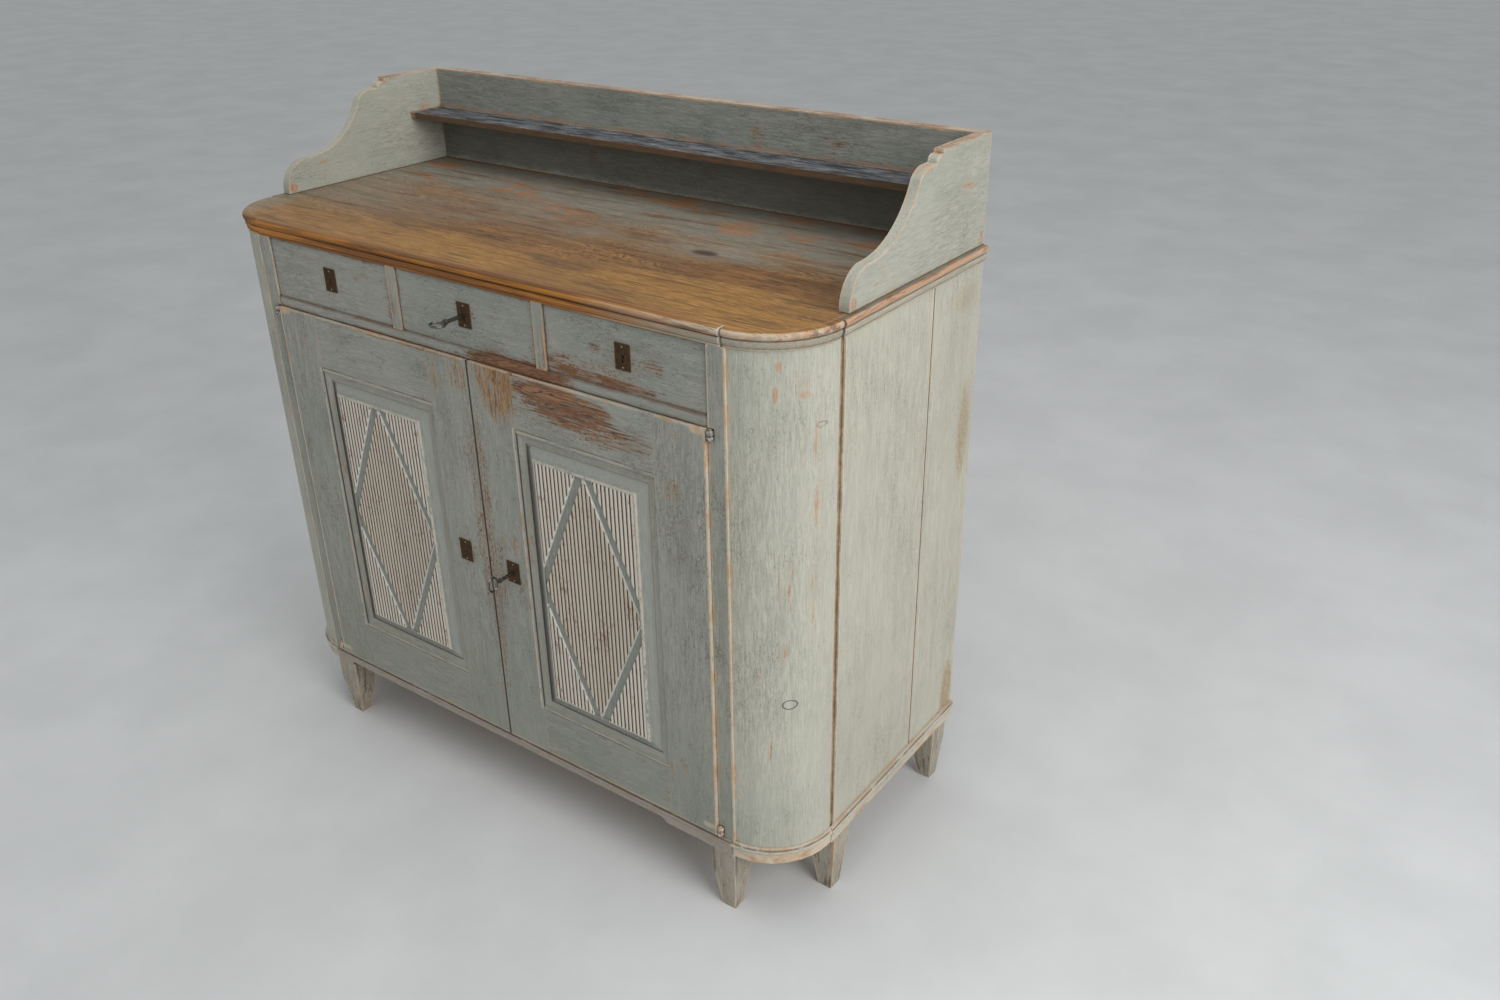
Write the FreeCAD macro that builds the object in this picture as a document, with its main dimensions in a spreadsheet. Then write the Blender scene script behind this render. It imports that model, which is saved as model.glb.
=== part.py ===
import FreeCAD, Part
import math
import os
import Sketcher
from FreeCAD import Vector

# A painted pine sideboard: three drawers over a pair of reeded doors, rounded front
# corners, a moulded counter and a low gallery with one shelf.
# Frame: X to the right, Y to the back, Z up. Outlines are drawn with Y = 0 on the face
# of the front stiles; every piece is then moved by front_y, which centres the whole.

# Driving sizes in millimetres
SIZES = {
    # heights, from the floor up
    "foot_height": 123,
    "plinth_height": 30,
    "door_opening_height": 703,
    "rail_height": 16,
    "drawer_opening_height": 102,
    "counter_height": 25,
    "gallery_height": 168,
    # carcass
    "body_width": 1177,
    "body_depth": 523,
    "column_radius": 110,
    "side_thickness": 20,
    "side_joint_setback": 370,
    "side_joint_chamfer": 2.5,
    "side_groove_width": 9,
    "side_groove_depth": 3,
    "stile_width": 30,
    "stile_thickness": 22,
    "stile_proud": 3,
    "stile_lap": 6,
    "rail_depth": 40,
    "tenon_length": 18,
    "tenon_thickness": 8,
    "tenon_shoulder": 2,
    "tenon_fit": 0.2,
    "deck_thickness": 10,
    "divider_width": 20,
    "guide_height": 30,
    "floor_thickness": 20,
    "back_thickness": 9,
    "back_rebate": 10,
    "back_board_count": 3,
    "shelf_thickness": 18,
    "shelf_level": 330,
    "shelf_setback": 121,
    "bearer_width": 20,
    "bearer_height": 25,
    "stop_width": 60,
    "stop_depth": 15,
    "stop_height": 10,
    "stop_gap": 0.3,
    # mouldings: the corner lengths stand behind the straight ones
    "corner_strip_setback": 2,
    # base moulding
    "plinth_nose": 5,
    "plinth_fillet": 2,
    "plinth_fillet_height": 3,
    "plinth_nose_height": 10,
    "plinth_toe": 1,
    "plinth_arch_height": 8.5,
    "plinth_arch_end": 330,
    "plinth_arch_ease": 26,
    # feet
    "foot_width": 46,
    "foot_toe_width": 25,
    "foot_toe_inset": 8,
    "foot_block_height": 35,
    "side_foot_setback": 127,
    "rear_foot_inset": 14,
    "dowel_radius": 6,
    "dowel_length": 24,
    "dowel_fit": 0.1,
    # counter
    "strip_width": 15,
    "counter_nose": 5,
    "counter_quirk": 0.5,
    "counter_nose_height": 11.5,
    "counter_band": 2.5,
    "counter_band_height": 10,
    "counter_band_rise": 1,
    "counter_bead": 1,
    "counter_bead_height": 2.5,
    "counter_joint_setback": 290,
    # gallery
    "gallery_inset": 1.5,
    "gallery_thickness": 16,
    "gallery_seat_depth": 3,
    "gallery_seat_fit": 0.2,
    "gallery_setback": 134.5,
    "gallery_lobe": 50,
    "gallery_lobe_base": 6,
    "gallery_cove_length": 127.5,
    "gallery_cove_height": 82,
    "gallery_ovolo_length": 30,
    "gallery_ovolo_height": 14,
    "gallery_flat": 16,
    "gallery_ear": 10,
    "gallery_ear_flat": 7,
    "gallery_back_thickness": 20,
    "gallery_shelf_height": 98,
    "gallery_shelf_thickness": 10,
    "gallery_shelf_depth": 76,
    "gallery_shelf_shoulder": 2,
    "gallery_housing": 5,
    "housing_fit": 0.2,
    # doors
    "door_thickness": 22,
    "door_proud": 5,
    "door_gap": 1,
    "door_meeting_gap": 1.2,
    "door_foot_gap": 2,
    "door_head_gap": 1.4,
    "door_stile_width": 92,
    "door_rail_width": 97,
    "door_tenon_length": 45,
    "door_tenon_height": 50,
    "door_moulding_width": 14,
    "door_moulding_depth": 4,
    "door_moulding_quirk": 1,
    "panel_groove_depth": 10,
    "panel_tongue_setback": 6,
    "panel_tongue": 6,
    "panel_fit": 0.2,
    "panel_play": 1,
    "panel_lip_gap": 0.4,
    "panel_bevel_width": 17,
    "panel_bevel_rise": 6,
    "panel_shoulder": 5,
    "panel_shoulder_ease": 0.01,
    "reed_count": 25,
    "reed_margin": 1,
    "reed_depth": 2.5,
    "band_width": 16.5,
    "band_tip": 0.8,
    # door hinges: an iron pintle on the stile and an eye on the door
    "hinge_radius": 5.5,
    "hinge_pin_radius": 2.6,
    "hinge_pin_fit": 0.05,
    "hinge_inset": 5.5,
    "hinge_proud": 3,
    "hinge_knuckle": 8,
    "hinge_seat_gap": 0.3,
    "hinge_pin_rise": 2.2,
    "hinge_low_level": 3,
    "hinge_high_drop": 10,
    "hinge_notch_gap": 0.5,
    "spike_width": 4,
    "spike_height": 6,
    "spike_end_gap": 2,
    "spike_fit": 0.1,
    "tang_length": 25,
    "tang_thickness": 3,
    # drawers
    "drawer_front_thickness": 20,
    "drawer_recess": 3,
    "drawer_gap": 1,
    "drawer_seat_gap": 0.3,
    "drawer_head_gap": 1.5,
    "drawer_length": 492,
    "drawer_side_thickness": 10,
    "drawer_side_height": 88,
    "drawer_lap": 8,
    "drawer_bottom_thickness": 6,
    "drawer_bottom_rise": 6,
    "drawer_bottom_groove": 5,
    "drawer_back_drop": 6,
    "drawer_joint_fit": 0.1,
    # locks and keys
    "lock_plate_width": 27,
    "lock_plate_height": 39,
    "lock_plate_thickness": 1.2,
    "drawer_key_level": 51.5,
    "door_key_level": 348.5,
    "door_key_inset": 53.4,
    "blind_plate_level": 356,
    "lock_case_depth": 12,
    "lock_case_wall": 1.5,
    "lock_case_width": 50,
    "lock_case_tail": 22,
    "lock_fit": 0.1,
    "bolt_throw": 9,
    "bolt_thickness": 4,
    "bolt_width": 28,
    "bolt_tail": 12,
    "bolt_fit": 0.3,
    "bolt_setback": 4,
    "keyhole_radius": 3.3,
    "key_shaft_radius": 3,
    "key_collar_radius": 4.6,
    "key_collar_length": 3,
    "key_collar_setback": 4,
    "key_bit_reach": 9,
    "key_bit_thickness": 3,
    "key_bit_length": 7,
    "key_bit_gap": 0.8,
    "key_end_gap": 0.3,
    "key_bow_width": 28,
    "key_bow_depth": 20,
    "key_bow_wire": 1.7,
    "door_key_reach": 62,
    "drawer_key_reach": 60,
    # iron slide bolt on the back of the left door
    "slide_inset": 40,
    "slide_width": 10,
    "slide_thickness": 5,
    "slide_length": 150,
    "slide_throw": 12,
    "slide_fit": 0.3,
    "slide_knob_radius": 5,
    "slide_knob_length": 9,
    "staple_thickness": 2,
    "staple_height": 12,
    "staple_leg": 8,
    "staple_inset": 18,
    # how far a cut runs on past a face
    "overrun": 5,
}

doc = FreeCAD.newDocument("Sideboard")
sheet = doc.addObject("Spreadsheet::Sheet", "Sizes")
nodes = []


class Size:
    """A length that knows its number and the formula that gives it from the sheet."""

    def __init__(self, value, text):
        self.value = float(value)
        self.text = text

    def __add__(self, other):
        other = as_size(other)
        return Size(self.value + other.value, "(%s + %s)" % (self.text, other.text))

    def __sub__(self, other):
        other = as_size(other)
        return Size(self.value - other.value, "(%s - %s)" % (self.text, other.text))

    def __mul__(self, other):
        other = as_size(other)
        return Size(self.value * other.value, "(%s * %s)" % (self.text, other.text))

    def __truediv__(self, other):
        other = as_size(other)
        return Size(self.value / other.value, "(%s / %s)" % (self.text, other.text))

    def __rsub__(self, other):
        return as_size(other) - self

    def __neg__(self):
        return 0 - self

    __radd__ = __add__
    __rmul__ = __mul__


def as_size(thing):
    if isinstance(thing, Size):
        return thing
    return Size(thing, "(%g)" % thing)


def root(size):
    return Size(math.sqrt(size.value), "sqrt(%s)" % size.text)


class Sheet:
    """The driving sizes by name, each tied to its cell."""


sz = Sheet()
for row, (name, value) in enumerate(SIZES.items(), start=1):
    sheet.set("A%d" % row, name)
    sheet.set("B%d" % row, str(value))
    sheet.setAlias("B%d" % row, name)
    setattr(sz, name, Size(value, "Sizes." + name))
doc.recompute()


# Helpers that draw and bind
def bind(thing, path, size):
    thing.setExpression(path, as_size(size).text)


def settle(piece, x=0, y=0, z=0):
    """Places a piece, moving it from the stile-face frame to the centred frame."""
    bind(piece, "Placement.Base.x", x)
    bind(piece, "Placement.Base.y", front_y + y)
    bind(piece, "Placement.Base.z", z)


def node(label, *pieces):
    """Names a sub-part; several pieces of one kind share it as separate solids."""
    piece = pieces[0]
    if len(pieces) > 1:
        piece = doc.addObject("Part::Compound", label + "_group")
        piece.Links = list(pieces)
    piece.Label = label
    nodes.append(piece)
    return piece


def board(name, x, y, z):
    """A plain sawn board between two values on each axis."""
    box = doc.addObject("Part::Box", name)
    for side, (low, high) in zip(("Length", "Width", "Height"), (x, y, z)):
        bind(box, side, as_size(high) - low)
    settle(box, x[0], y[0], z[0])
    return box


def mirrored(piece):
    """The same piece on the other side of the sideboard."""
    twin = doc.addObject("Part::Mirroring", piece.Name + "_twin")
    twin.Source = piece
    twin.Normal = Vector(1, 0, 0)
    return twin


def new_body(name, x=0, y=0):
    body = doc.addObject("PartDesign::Body", name)
    settle(body, x, y)
    return body


def arc_edge(start, end, radius):
    """An arc under a half circle; a positive radius turns left on the way to its end."""
    middle = (start + end) * 0.5
    along = end - start
    reach = math.sqrt(radius * radius - along.Length * along.Length / 4)
    left = Vector(-along.y, along.x, 0).normalize()
    centre = middle + left * (reach if radius > 0 else -reach)
    first, last = (start, end) if radius > 0 else (end, start)
    angles = [math.atan2(p.y - centre.y, p.x - centre.x) for p in (first, last)]
    return Part.ArcOfCircle(Part.Circle(centre, Vector(0, 0, 1), abs(radius)), *angles)


def fix(sketch, kind, edge, point, size):
    """Ties one coordinate of a sketch point to a size."""
    size = as_size(size)
    number = sketch.addConstraint(Sketcher.Constraint(kind, -1, 1, edge, point, size.value))
    sketch.setExpression("Constraints[%d]" % number, size.text)


def draw(sketch, corners):
    """Closes an outline. A corner is (across, up), or (across, up, radius) before an arc."""
    points = [Vector(as_size(c[0]).value, as_size(c[1]).value, 0) for c in corners]
    edges = []
    ends = []
    for i, corner in enumerate(corners):
        start, end = points[i], points[(i + 1) % len(points)]
        if len(corner) == 2:
            edges.append(sketch.addGeometry(Part.LineSegment(start, end), False))
            ends.append((1, 2))
            continue
        radius = as_size(corner[2])
        edge = sketch.addGeometry(arc_edge(start, end, radius.value), False)
        edges.append(edge)
        ends.append((1, 2) if radius.value > 0 else (2, 1))
    for i, edge in enumerate(edges):
        after = (i + 1) % len(edges)
        sketch.addConstraint(Sketcher.Constraint("Coincident", edge, ends[i][1], edges[after], ends[after][0]))
    for i, corner in enumerate(corners):
        fix(sketch, "DistanceX", edges[i], ends[i][0], corner[0])
        fix(sketch, "DistanceY", edges[i], ends[i][0], corner[1])
        if len(corner) == 3:
            radius = as_size(corner[2])
            size = radius if radius.value > 0 else -radius
            number = sketch.addConstraint(Sketcher.Constraint("Radius", edges[i], size.value))
            sketch.setExpression("Constraints[%d]" % number, size.text)


def circle(sketch, across, up, radius):
    across, up, radius = as_size(across), as_size(up), as_size(radius)
    ring = Part.Circle(Vector(across.value, up.value, 0), Vector(0, 0, 1), radius.value)
    edge = sketch.addGeometry(ring, False)
    fix(sketch, "DistanceX", edge, 3, across)
    fix(sketch, "DistanceY", edge, 3, up)
    number = sketch.addConstraint(Sketcher.Constraint("Radius", edge, radius.value))
    sketch.setExpression("Constraints[%d]" % number, radius.text)


def rectangle(across, up):
    """The four corners of a rectangle between two values each way."""
    return [(across[0], up[0]), (across[1], up[0]), (across[1], up[1]), (across[0], up[1])]


def sketch_on(body, plane, lift, outlines=(), circles=()):
    """A sketch on one of the body's own planes: XY, XZ or YZ, at a distance along its normal."""
    sketch = body.newObject("Sketcher::SketchObject", "%s_%s" % (body.Name, plane))
    support = [f for f in body.Origin.OriginFeatures if f.Role == plane + "_Plane"][0]
    sketch.AttachmentSupport = [(support, "")]
    sketch.MapMode = "FlatFace"
    bind(sketch, "AttachmentOffset.Base.z", lift)
    for outline in outlines:
        draw(sketch, outline)
    for values in circles:
        circle(sketch, *values)
    return sketch


def pad(body, plane, span, outlines=(), circles=()):
    """Adds a prism between two values along the axis that the plane leaves free."""
    low, high = as_size(span[0]), as_size(span[1])
    lift = -low if plane == "XZ" else low
    feature = body.newObject("PartDesign::Pad", body.Name + "_pad")
    feature.Profile = sketch_on(body, plane, lift, outlines, circles)
    feature.Reversed = plane == "XZ"
    bind(feature, "Length", high - low)
    return feature


def pocket(body, plane, span, outlines=(), circles=()):
    """Cuts a prism between two values along the axis that the plane leaves free."""
    low, high = as_size(span[0]), as_size(span[1])
    lift = -low if plane == "XZ" else high
    feature = body.newObject("PartDesign::Pocket", body.Name + "_pocket")
    feature.Profile = sketch_on(body, plane, lift, outlines, circles)
    bind(feature, "Length", high - low)
    return feature


def prism(name, plane, span, outline):
    """A body that is one outline given a thickness."""
    body = new_body(name)
    pad(body, plane, span, [outline])
    return body


# Levels and places worked out from the driving sizes
half_width = sz.body_width / 2
front_y = (sz.door_key_reach - sz.body_depth) / 2
carcass_foot = sz.foot_height
floor_top = carcass_foot + sz.plinth_height
floor_foot = floor_top - sz.floor_thickness
rail_foot = floor_top + sz.door_opening_height
deck_top = rail_foot + sz.rail_height
counter_foot = deck_top + sz.drawer_opening_height
counter_top = counter_foot + sz.counter_height
column_x = half_width - sz.column_radius
column_y = sz.stile_proud + sz.column_radius
column_inside = sz.column_radius - sz.side_thickness
stile_outer = column_x + sz.stile_lap
stile_inner = stile_outer - sz.stile_width
side_inside = half_width - sz.side_thickness
back_face = sz.body_depth - sz.back_thickness
over = sz.overrun


# Quarter-round front corners and flat sides
def column_edge(radius):
    """How far back a circle of the column lies where the stile's edge meets it."""
    return column_y - root(radius * radius - sz.stile_lap * sz.stile_lap)


def quarter_column(name):
    return prism(name, "XY", (carcass_foot, counter_foot), [
        (stile_outer, column_edge(sz.column_radius), sz.column_radius),
        (half_width, column_y),
        (side_inside, column_y, -column_inside),
        (stile_outer, column_edge(column_inside)),
    ])


def side_boards(name):
    """Two upright boards: the front one has the dark groove beside the column, the rear
    one the rebate for the back boards, and a small chamfer each marks their joint."""
    joint = sz.side_joint_setback
    chamfer = sz.side_joint_chamfer
    groove_face = half_width - sz.side_groove_depth
    groove_end = column_y + sz.side_groove_width
    front = prism(name + "_front", "XY", (carcass_foot, counter_foot), [
        (side_inside, column_y),
        (groove_face, column_y),
        (groove_face, groove_end),
        (half_width, groove_end),
        (half_width, joint - chamfer),
        (half_width - chamfer, joint),
        (side_inside, joint),
    ])
    rebate = side_inside + sz.back_rebate
    rear = prism(name + "_rear", "XY", (carcass_foot, counter_foot), [
        (side_inside, joint),
        (half_width - chamfer, joint),
        (half_width, joint + chamfer),
        (half_width, sz.body_depth),
        (rebate, sz.body_depth),
        (rebate, back_face),
        (side_inside, back_face),
    ])
    return front, rear


# Iron pintles and eyes that hang the doors
hinge_x = stile_inner + sz.hinge_inset
hinge_y = -sz.hinge_proud
hinge_lows = [
    floor_top + sz.hinge_low_level,
    rail_foot - sz.hinge_high_drop - sz.hinge_knuckle,
]


def pintle(name, low):
    """Round head with a spike into the stile and a pin for the eye."""
    body = new_body(name)
    head_top = low + sz.hinge_knuckle
    eye_top = head_top + sz.hinge_seat_gap + sz.hinge_knuckle
    pad(body, "XY", (low, head_top), circles=[(hinge_x, hinge_y, sz.hinge_radius)])
    pin_top = eye_top + sz.hinge_pin_rise
    pad(body, "XY", (head_top, pin_top), circles=[(hinge_x, hinge_y, sz.hinge_pin_radius)])
    spike_foot = low + (sz.hinge_knuckle - sz.spike_height) / 2
    across = (hinge_x - sz.spike_width / 2, hinge_x + sz.spike_width / 2)
    spike = rectangle(across, (spike_foot, spike_foot + sz.spike_height))
    pad(body, "XZ", (hinge_y, sz.stile_thickness - sz.spike_end_gap), [spike])
    return body


def eye_span(low):
    eye_low = low + sz.hinge_knuckle + sz.hinge_seat_gap
    return eye_low, eye_low + sz.hinge_knuckle


def eye(name, low):
    """Ring round the pin with a tang driven into the edge of the door."""
    body = new_body(name)
    span = eye_span(low)
    pad(body, "XY", span, circles=[(hinge_x, hinge_y, sz.hinge_radius)])
    tang = rectangle((door_outer - sz.tang_length, hinge_x), (hinge_y, hinge_y + sz.tang_thickness))
    pad(body, "XY", span, [tang])
    bore = sz.hinge_pin_radius + sz.hinge_pin_fit
    pocket(body, "XY", span, circles=[(hinge_x, hinge_y, bore)])
    return body


# Front stiles with their hinge notches, spike holes, rail mortise and foot dowel hole
rail_tenon_y = (
    (sz.stile_thickness - sz.tenon_thickness) / 2,
    (sz.stile_thickness + sz.tenon_thickness) / 2,
)
rail_tenon_z = (rail_foot + sz.tenon_shoulder, deck_top - sz.tenon_shoulder)
front_dowel_x = stile_outer - sz.stile_width / 2
front_dowel_y = sz.stile_thickness / 2


def widened(span, gap):
    return span[0] - gap, span[1] + gap


def front_stile(name):
    body = prism(name, "XY", (carcass_foot, counter_foot),
                 rectangle((stile_inner, stile_outer), (0, sz.stile_thickness)))
    notch = sz.hinge_radius + sz.hinge_notch_gap
    for low in hinge_lows:
        top = low + 2 * sz.hinge_knuckle + sz.hinge_seat_gap + sz.hinge_pin_rise
        pocket(body, "XY", (low - sz.hinge_seat_gap, top), circles=[(hinge_x, hinge_y, notch)])
        foot = low + (sz.hinge_knuckle - sz.spike_height) / 2
        hole = rectangle(
            widened((hinge_x - sz.spike_width / 2, hinge_x + sz.spike_width / 2), sz.spike_fit),
            widened((foot, foot + sz.spike_height), sz.spike_fit))
        pocket(body, "XZ", (0, sz.stile_thickness - sz.spike_end_gap + sz.spike_fit), [hole])
    mortise = rectangle(widened(rail_tenon_y, sz.tenon_fit), widened(rail_tenon_z, sz.tenon_fit))
    pocket(body, "YZ", (stile_inner, stile_inner + sz.tenon_length + sz.tenon_fit), [mortise])
    pocket(body, "XY", (carcass_foot, carcass_foot + sz.dowel_length + sz.dowel_fit),
           circles=[(front_dowel_x, front_dowel_y, sz.dowel_radius + sz.dowel_fit)])
    return body


# Mouldings: outward is measured from the stile's face, and the same distance beyond the
# sides; round the column it starts a little further in
def facing(outline, origin, direction):
    """Turns an outward outline to a side: its own axis runs from origin in a direction."""
    turned = []
    for corner in outline:
        across = origin + corner[0] if direction > 0 else origin - corner[0]
        radius = [corner[2] * direction] if len(corner) == 3 else []
        turned.append((across, corner[1], *radius))
    return turned


def bulge(chord, rise):
    """Radius of an arc with a chord and a rise."""
    return (chord * chord / 4 + rise * rise) / (2 * rise)


def plinth_section(back):
    nose_top = floor_top - sz.plinth_fillet_height
    nose_foot = nose_top - sz.plinth_nose_height
    nose = bulge(sz.plinth_nose_height, sz.plinth_nose - sz.plinth_fillet)
    return [
        (back, carcass_foot),
        (sz.plinth_toe, carcass_foot),
        (sz.plinth_fillet, nose_foot, nose),
        (sz.plinth_fillet, nose_top),
        (sz.plinth_fillet, floor_top),
        (back, floor_top),
    ]


def counter_section(back):
    bead_top = counter_foot + sz.counter_bead_height
    band_top = bead_top + sz.counter_band_height
    nose_foot = counter_top - sz.counter_nose_height
    band = bulge(sz.counter_band_height, sz.counter_band_rise)
    nose = bulge(sz.counter_nose_height, sz.counter_nose - sz.counter_quirk)
    return [
        (back, counter_foot),
        (sz.counter_bead, counter_foot),
        (sz.counter_bead, bead_top),
        (as_size(0), bead_top, band),
        (sz.counter_band, band_top),
        (sz.counter_quirk, nose_foot, nose),
        (sz.counter_quirk, counter_top),
        (back, counter_top),
    ]


side_face = half_width + sz.stile_proud
corner_face = sz.column_radius + sz.stile_proud


def front_strip(name, section):
    return prism(name, "YZ", (-column_x, column_x), facing(section, as_size(0), -1))


def side_strip(name, section):
    return prism(name, "XZ", (column_y, sz.body_depth), facing(section, side_face, 1))


def corner_strip(name, section):
    """A quarter ring turned about the column's own centre line."""
    body = new_body(name, column_x, column_y)
    sketch = sketch_on(body, "XZ", 0, [facing(section, corner_face - sz.corner_strip_setback, 1)])
    feature = body.newObject("PartDesign::Revolution", name + "_turn")
    feature.Profile = sketch
    feature.ReferenceAxis = (sketch, ["V_Axis"])
    feature.Angle = 90
    feature.Reversed = True
    return body


# Carcass boards
def floor_outline():
    """A level board that fills the carcass and comes forward between the stiles."""
    right = [
        (stile_inner, as_size(0)),
        (stile_inner, sz.stile_thickness),
        (stile_outer, sz.stile_thickness),
        (stile_outer, column_edge(column_inside)),
        (side_inside, column_y),
        (side_inside, back_face),
    ]
    left = [(-x, y) for x, y in reversed(right)]
    return right + left


def inward(outer, length, direction):
    """A span that starts at an outer face and runs in from it."""
    return (outer, outer + length) if direction > 0 else (outer - length, outer)


def foot(name, outer_x, outer_y, back, dowel_x, dowel_y):
    """Square block, tapered below mostly on its inner faces, with a dowel up into the carcass.
    Its outer face in Y is the front one, or the back one where back is -1."""
    body = new_body(name)
    block_foot = carcass_foot - sz.foot_block_height
    wide = rectangle(inward(outer_x, sz.foot_width, -1), inward(outer_y, sz.foot_width, back))
    narrow = rectangle(inward(outer_x - sz.foot_toe_inset, sz.foot_toe_width, -1),
                       inward(outer_y + sz.foot_toe_inset * back, sz.foot_toe_width, back))
    pad(body, "XY", (block_foot, carcass_foot), [wide])
    taper = body.newObject("PartDesign::AdditiveLoft", name + "_taper")
    taper.Profile = sketch_on(body, "XY", block_foot, [wide])
    taper.Sections = [sketch_on(body, "XY", 0, [narrow])]
    taper.Ruled = True
    pad(body, "XY", (carcass_foot, carcass_foot + sz.dowel_length),
        circles=[(dowel_x, dowel_y, sz.dowel_radius)])
    return body


rear_foot_back = sz.body_depth - sz.rear_foot_inset
side_dowel_y = sz.side_foot_setback + sz.foot_width / 2
rear_dowel_y = rear_foot_back - sz.foot_width / 2
bearer_dowel_x = side_inside - sz.dowel_radius * 2
dowel_hole = sz.dowel_radius + sz.dowel_fit

right_column = quarter_column("right_column")
node("right_quarter_column", right_column)
node("left_quarter_column", mirrored(right_column))
right_sides = side_boards("right_side")
node("right_side_boards", *right_sides)
node("left_side_boards", *[mirrored(b) for b in right_sides])
right_stile = front_stile("right_stile")
node("right_front_stile", right_stile)
node("left_front_stile", mirrored(right_stile))

rail = prism("rail", "XZ", (0, sz.rail_depth), rectangle((-stile_inner, stile_inner), (rail_foot, deck_top)))
tenon_x = (-stile_inner - sz.tenon_length, stile_inner + sz.tenon_length)
pad(rail, "XZ", rail_tenon_y, [rectangle(tenon_x, rail_tenon_z)])
slide_y = (
    sz.door_thickness - sz.door_proud + sz.slide_fit,
    sz.door_thickness - sz.door_proud + sz.slide_fit + sz.slide_thickness,
)
slide_x = (-sz.slide_inset - sz.slide_width / 2, -sz.slide_inset + sz.slide_width / 2)
pocket(rail, "XY", (rail_foot, rail_foot + sz.slide_throw + sz.slide_fit),
       [rectangle(widened(slide_x, sz.slide_fit), widened(slide_y, sz.slide_fit))])
node("drawer_rail", rail)

deck_corner = column_y - sz.rail_depth
deck_half = column_x + root(column_inside * column_inside - deck_corner * deck_corner)
deck = prism("deck", "XY", (deck_top - sz.deck_thickness, deck_top), [
    (-deck_half, sz.rail_depth), (deck_half, sz.rail_depth), (side_inside, column_y),
    (side_inside, back_face), (-side_inside, back_face), (-side_inside, column_y),
])
node("drawer_deck", deck)

opening_width = (2 * stile_inner - 2 * sz.divider_width) / 3
divider_x = (opening_width / 2, opening_width / 2 + sz.divider_width)
divider = board("divider", divider_x, (0, sz.stile_thickness), (deck_top, counter_foot))
node("drawer_dividers", divider, mirrored(divider))
guide_z = (deck_top, deck_top + sz.guide_height)
inner_guide = board("inner_guide", divider_x, (sz.stile_thickness, back_face), guide_z)
outer_guide = board("outer_guide", (stile_inner, stile_inner + sz.divider_width),
                    (sz.stile_thickness, back_face), guide_z)
node("drawer_guides", inner_guide, outer_guide, mirrored(inner_guide), mirrored(outer_guide))

cupboard_floor = prism("cupboard_floor_board", "XY", (floor_foot, floor_top), floor_outline())
dowel_top = carcass_foot + sz.dowel_length + sz.dowel_fit
for side in (-1, 1):
    for dowel_y in (side_dowel_y, rear_dowel_y):
        pocket(cupboard_floor, "XY", (floor_foot, dowel_top),
               circles=[(bearer_dowel_x * side, dowel_y, dowel_hole)])
node("cupboard_floor", cupboard_floor)

bearer = prism("foot_bearer", "XY", (carcass_foot, floor_foot),
               rectangle((side_inside - sz.foot_width, side_inside), (column_y, back_face)))
for dowel_y in (side_dowel_y, rear_dowel_y):
    pocket(bearer, "XY", (carcass_foot, floor_foot), circles=[(bearer_dowel_x, dowel_y, dowel_hole)])
node("foot_bearers", bearer, mirrored(bearer))

shelf_foot = floor_top + sz.shelf_level
shelf = board("shelf", (-side_inside, side_inside), (sz.shelf_setback, back_face),
              (shelf_foot, shelf_foot + sz.shelf_thickness))
node("cupboard_shelf", shelf)
shelf_bearer = board("shelf_bearer", (side_inside - sz.bearer_width, side_inside),
                     (sz.shelf_setback, back_face), (shelf_foot - sz.bearer_height, shelf_foot))
node("shelf_bearers", shelf_bearer, mirrored(shelf_bearer))

back_half = side_inside + sz.back_rebate
back_board_width = 2 * back_half / sz.back_board_count
back_boards = []
for i in range(SIZES["back_board_count"]):
    left_edge = back_board_width * i - back_half
    back_boards.append(board("back_board_%d" % (i + 1), (left_edge, left_edge + back_board_width),
                             (back_face, sz.body_depth), (carcass_foot, counter_foot)))
node("back_boards", *back_boards)

door_back = sz.door_thickness - sz.door_proud
stop = board("stop", (-sz.stop_width / 2, sz.stop_width / 2),
             (door_back + sz.stop_gap, door_back + sz.stop_gap + sz.stop_depth),
             (floor_top, floor_top + sz.stop_height))
node("door_stop", stop)

# Base moulding: the front strip is cut back underneath, up to an ogee by the right foot
plinth_front = front_strip("plinth_front", plinth_section(as_size(0)))
arch_top = carcass_foot + sz.plinth_arch_height
arch_radius = bulge(root(sz.plinth_arch_ease * sz.plinth_arch_ease
                         + sz.plinth_arch_height * sz.plinth_arch_height) / 2, sz.plinth_arch_height / 4)
arch_start = -stile_outer + sz.foot_width
pocket(plinth_front, "XZ", (-sz.plinth_nose - over, 0), [[
    (arch_start, carcass_foot - over),
    (sz.plinth_arch_end + sz.plinth_arch_ease, carcass_foot - over),
    (sz.plinth_arch_end + sz.plinth_arch_ease, carcass_foot, -arch_radius),
    (sz.plinth_arch_end + sz.plinth_arch_ease / 2, carcass_foot + sz.plinth_arch_height / 2, arch_radius),
    (sz.plinth_arch_end, arch_top),
    (arch_start, arch_top),
]])
node("plinth_front_moulding", plinth_front)
plinth_corner = corner_strip("plinth_corner", plinth_section(sz.corner_strip_setback - sz.stile_proud))
pocket(plinth_corner, "XY", (carcass_foot - over, floor_top + over), [
    rectangle((-over, sz.stile_lap), (-column_y, sz.stile_thickness - column_y))])
node("plinth_corner_mouldings", plinth_corner, mirrored(plinth_corner))
plinth_side = side_strip("plinth_side", plinth_section(-sz.stile_proud))
node("plinth_side_mouldings", plinth_side, mirrored(plinth_side))

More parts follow.
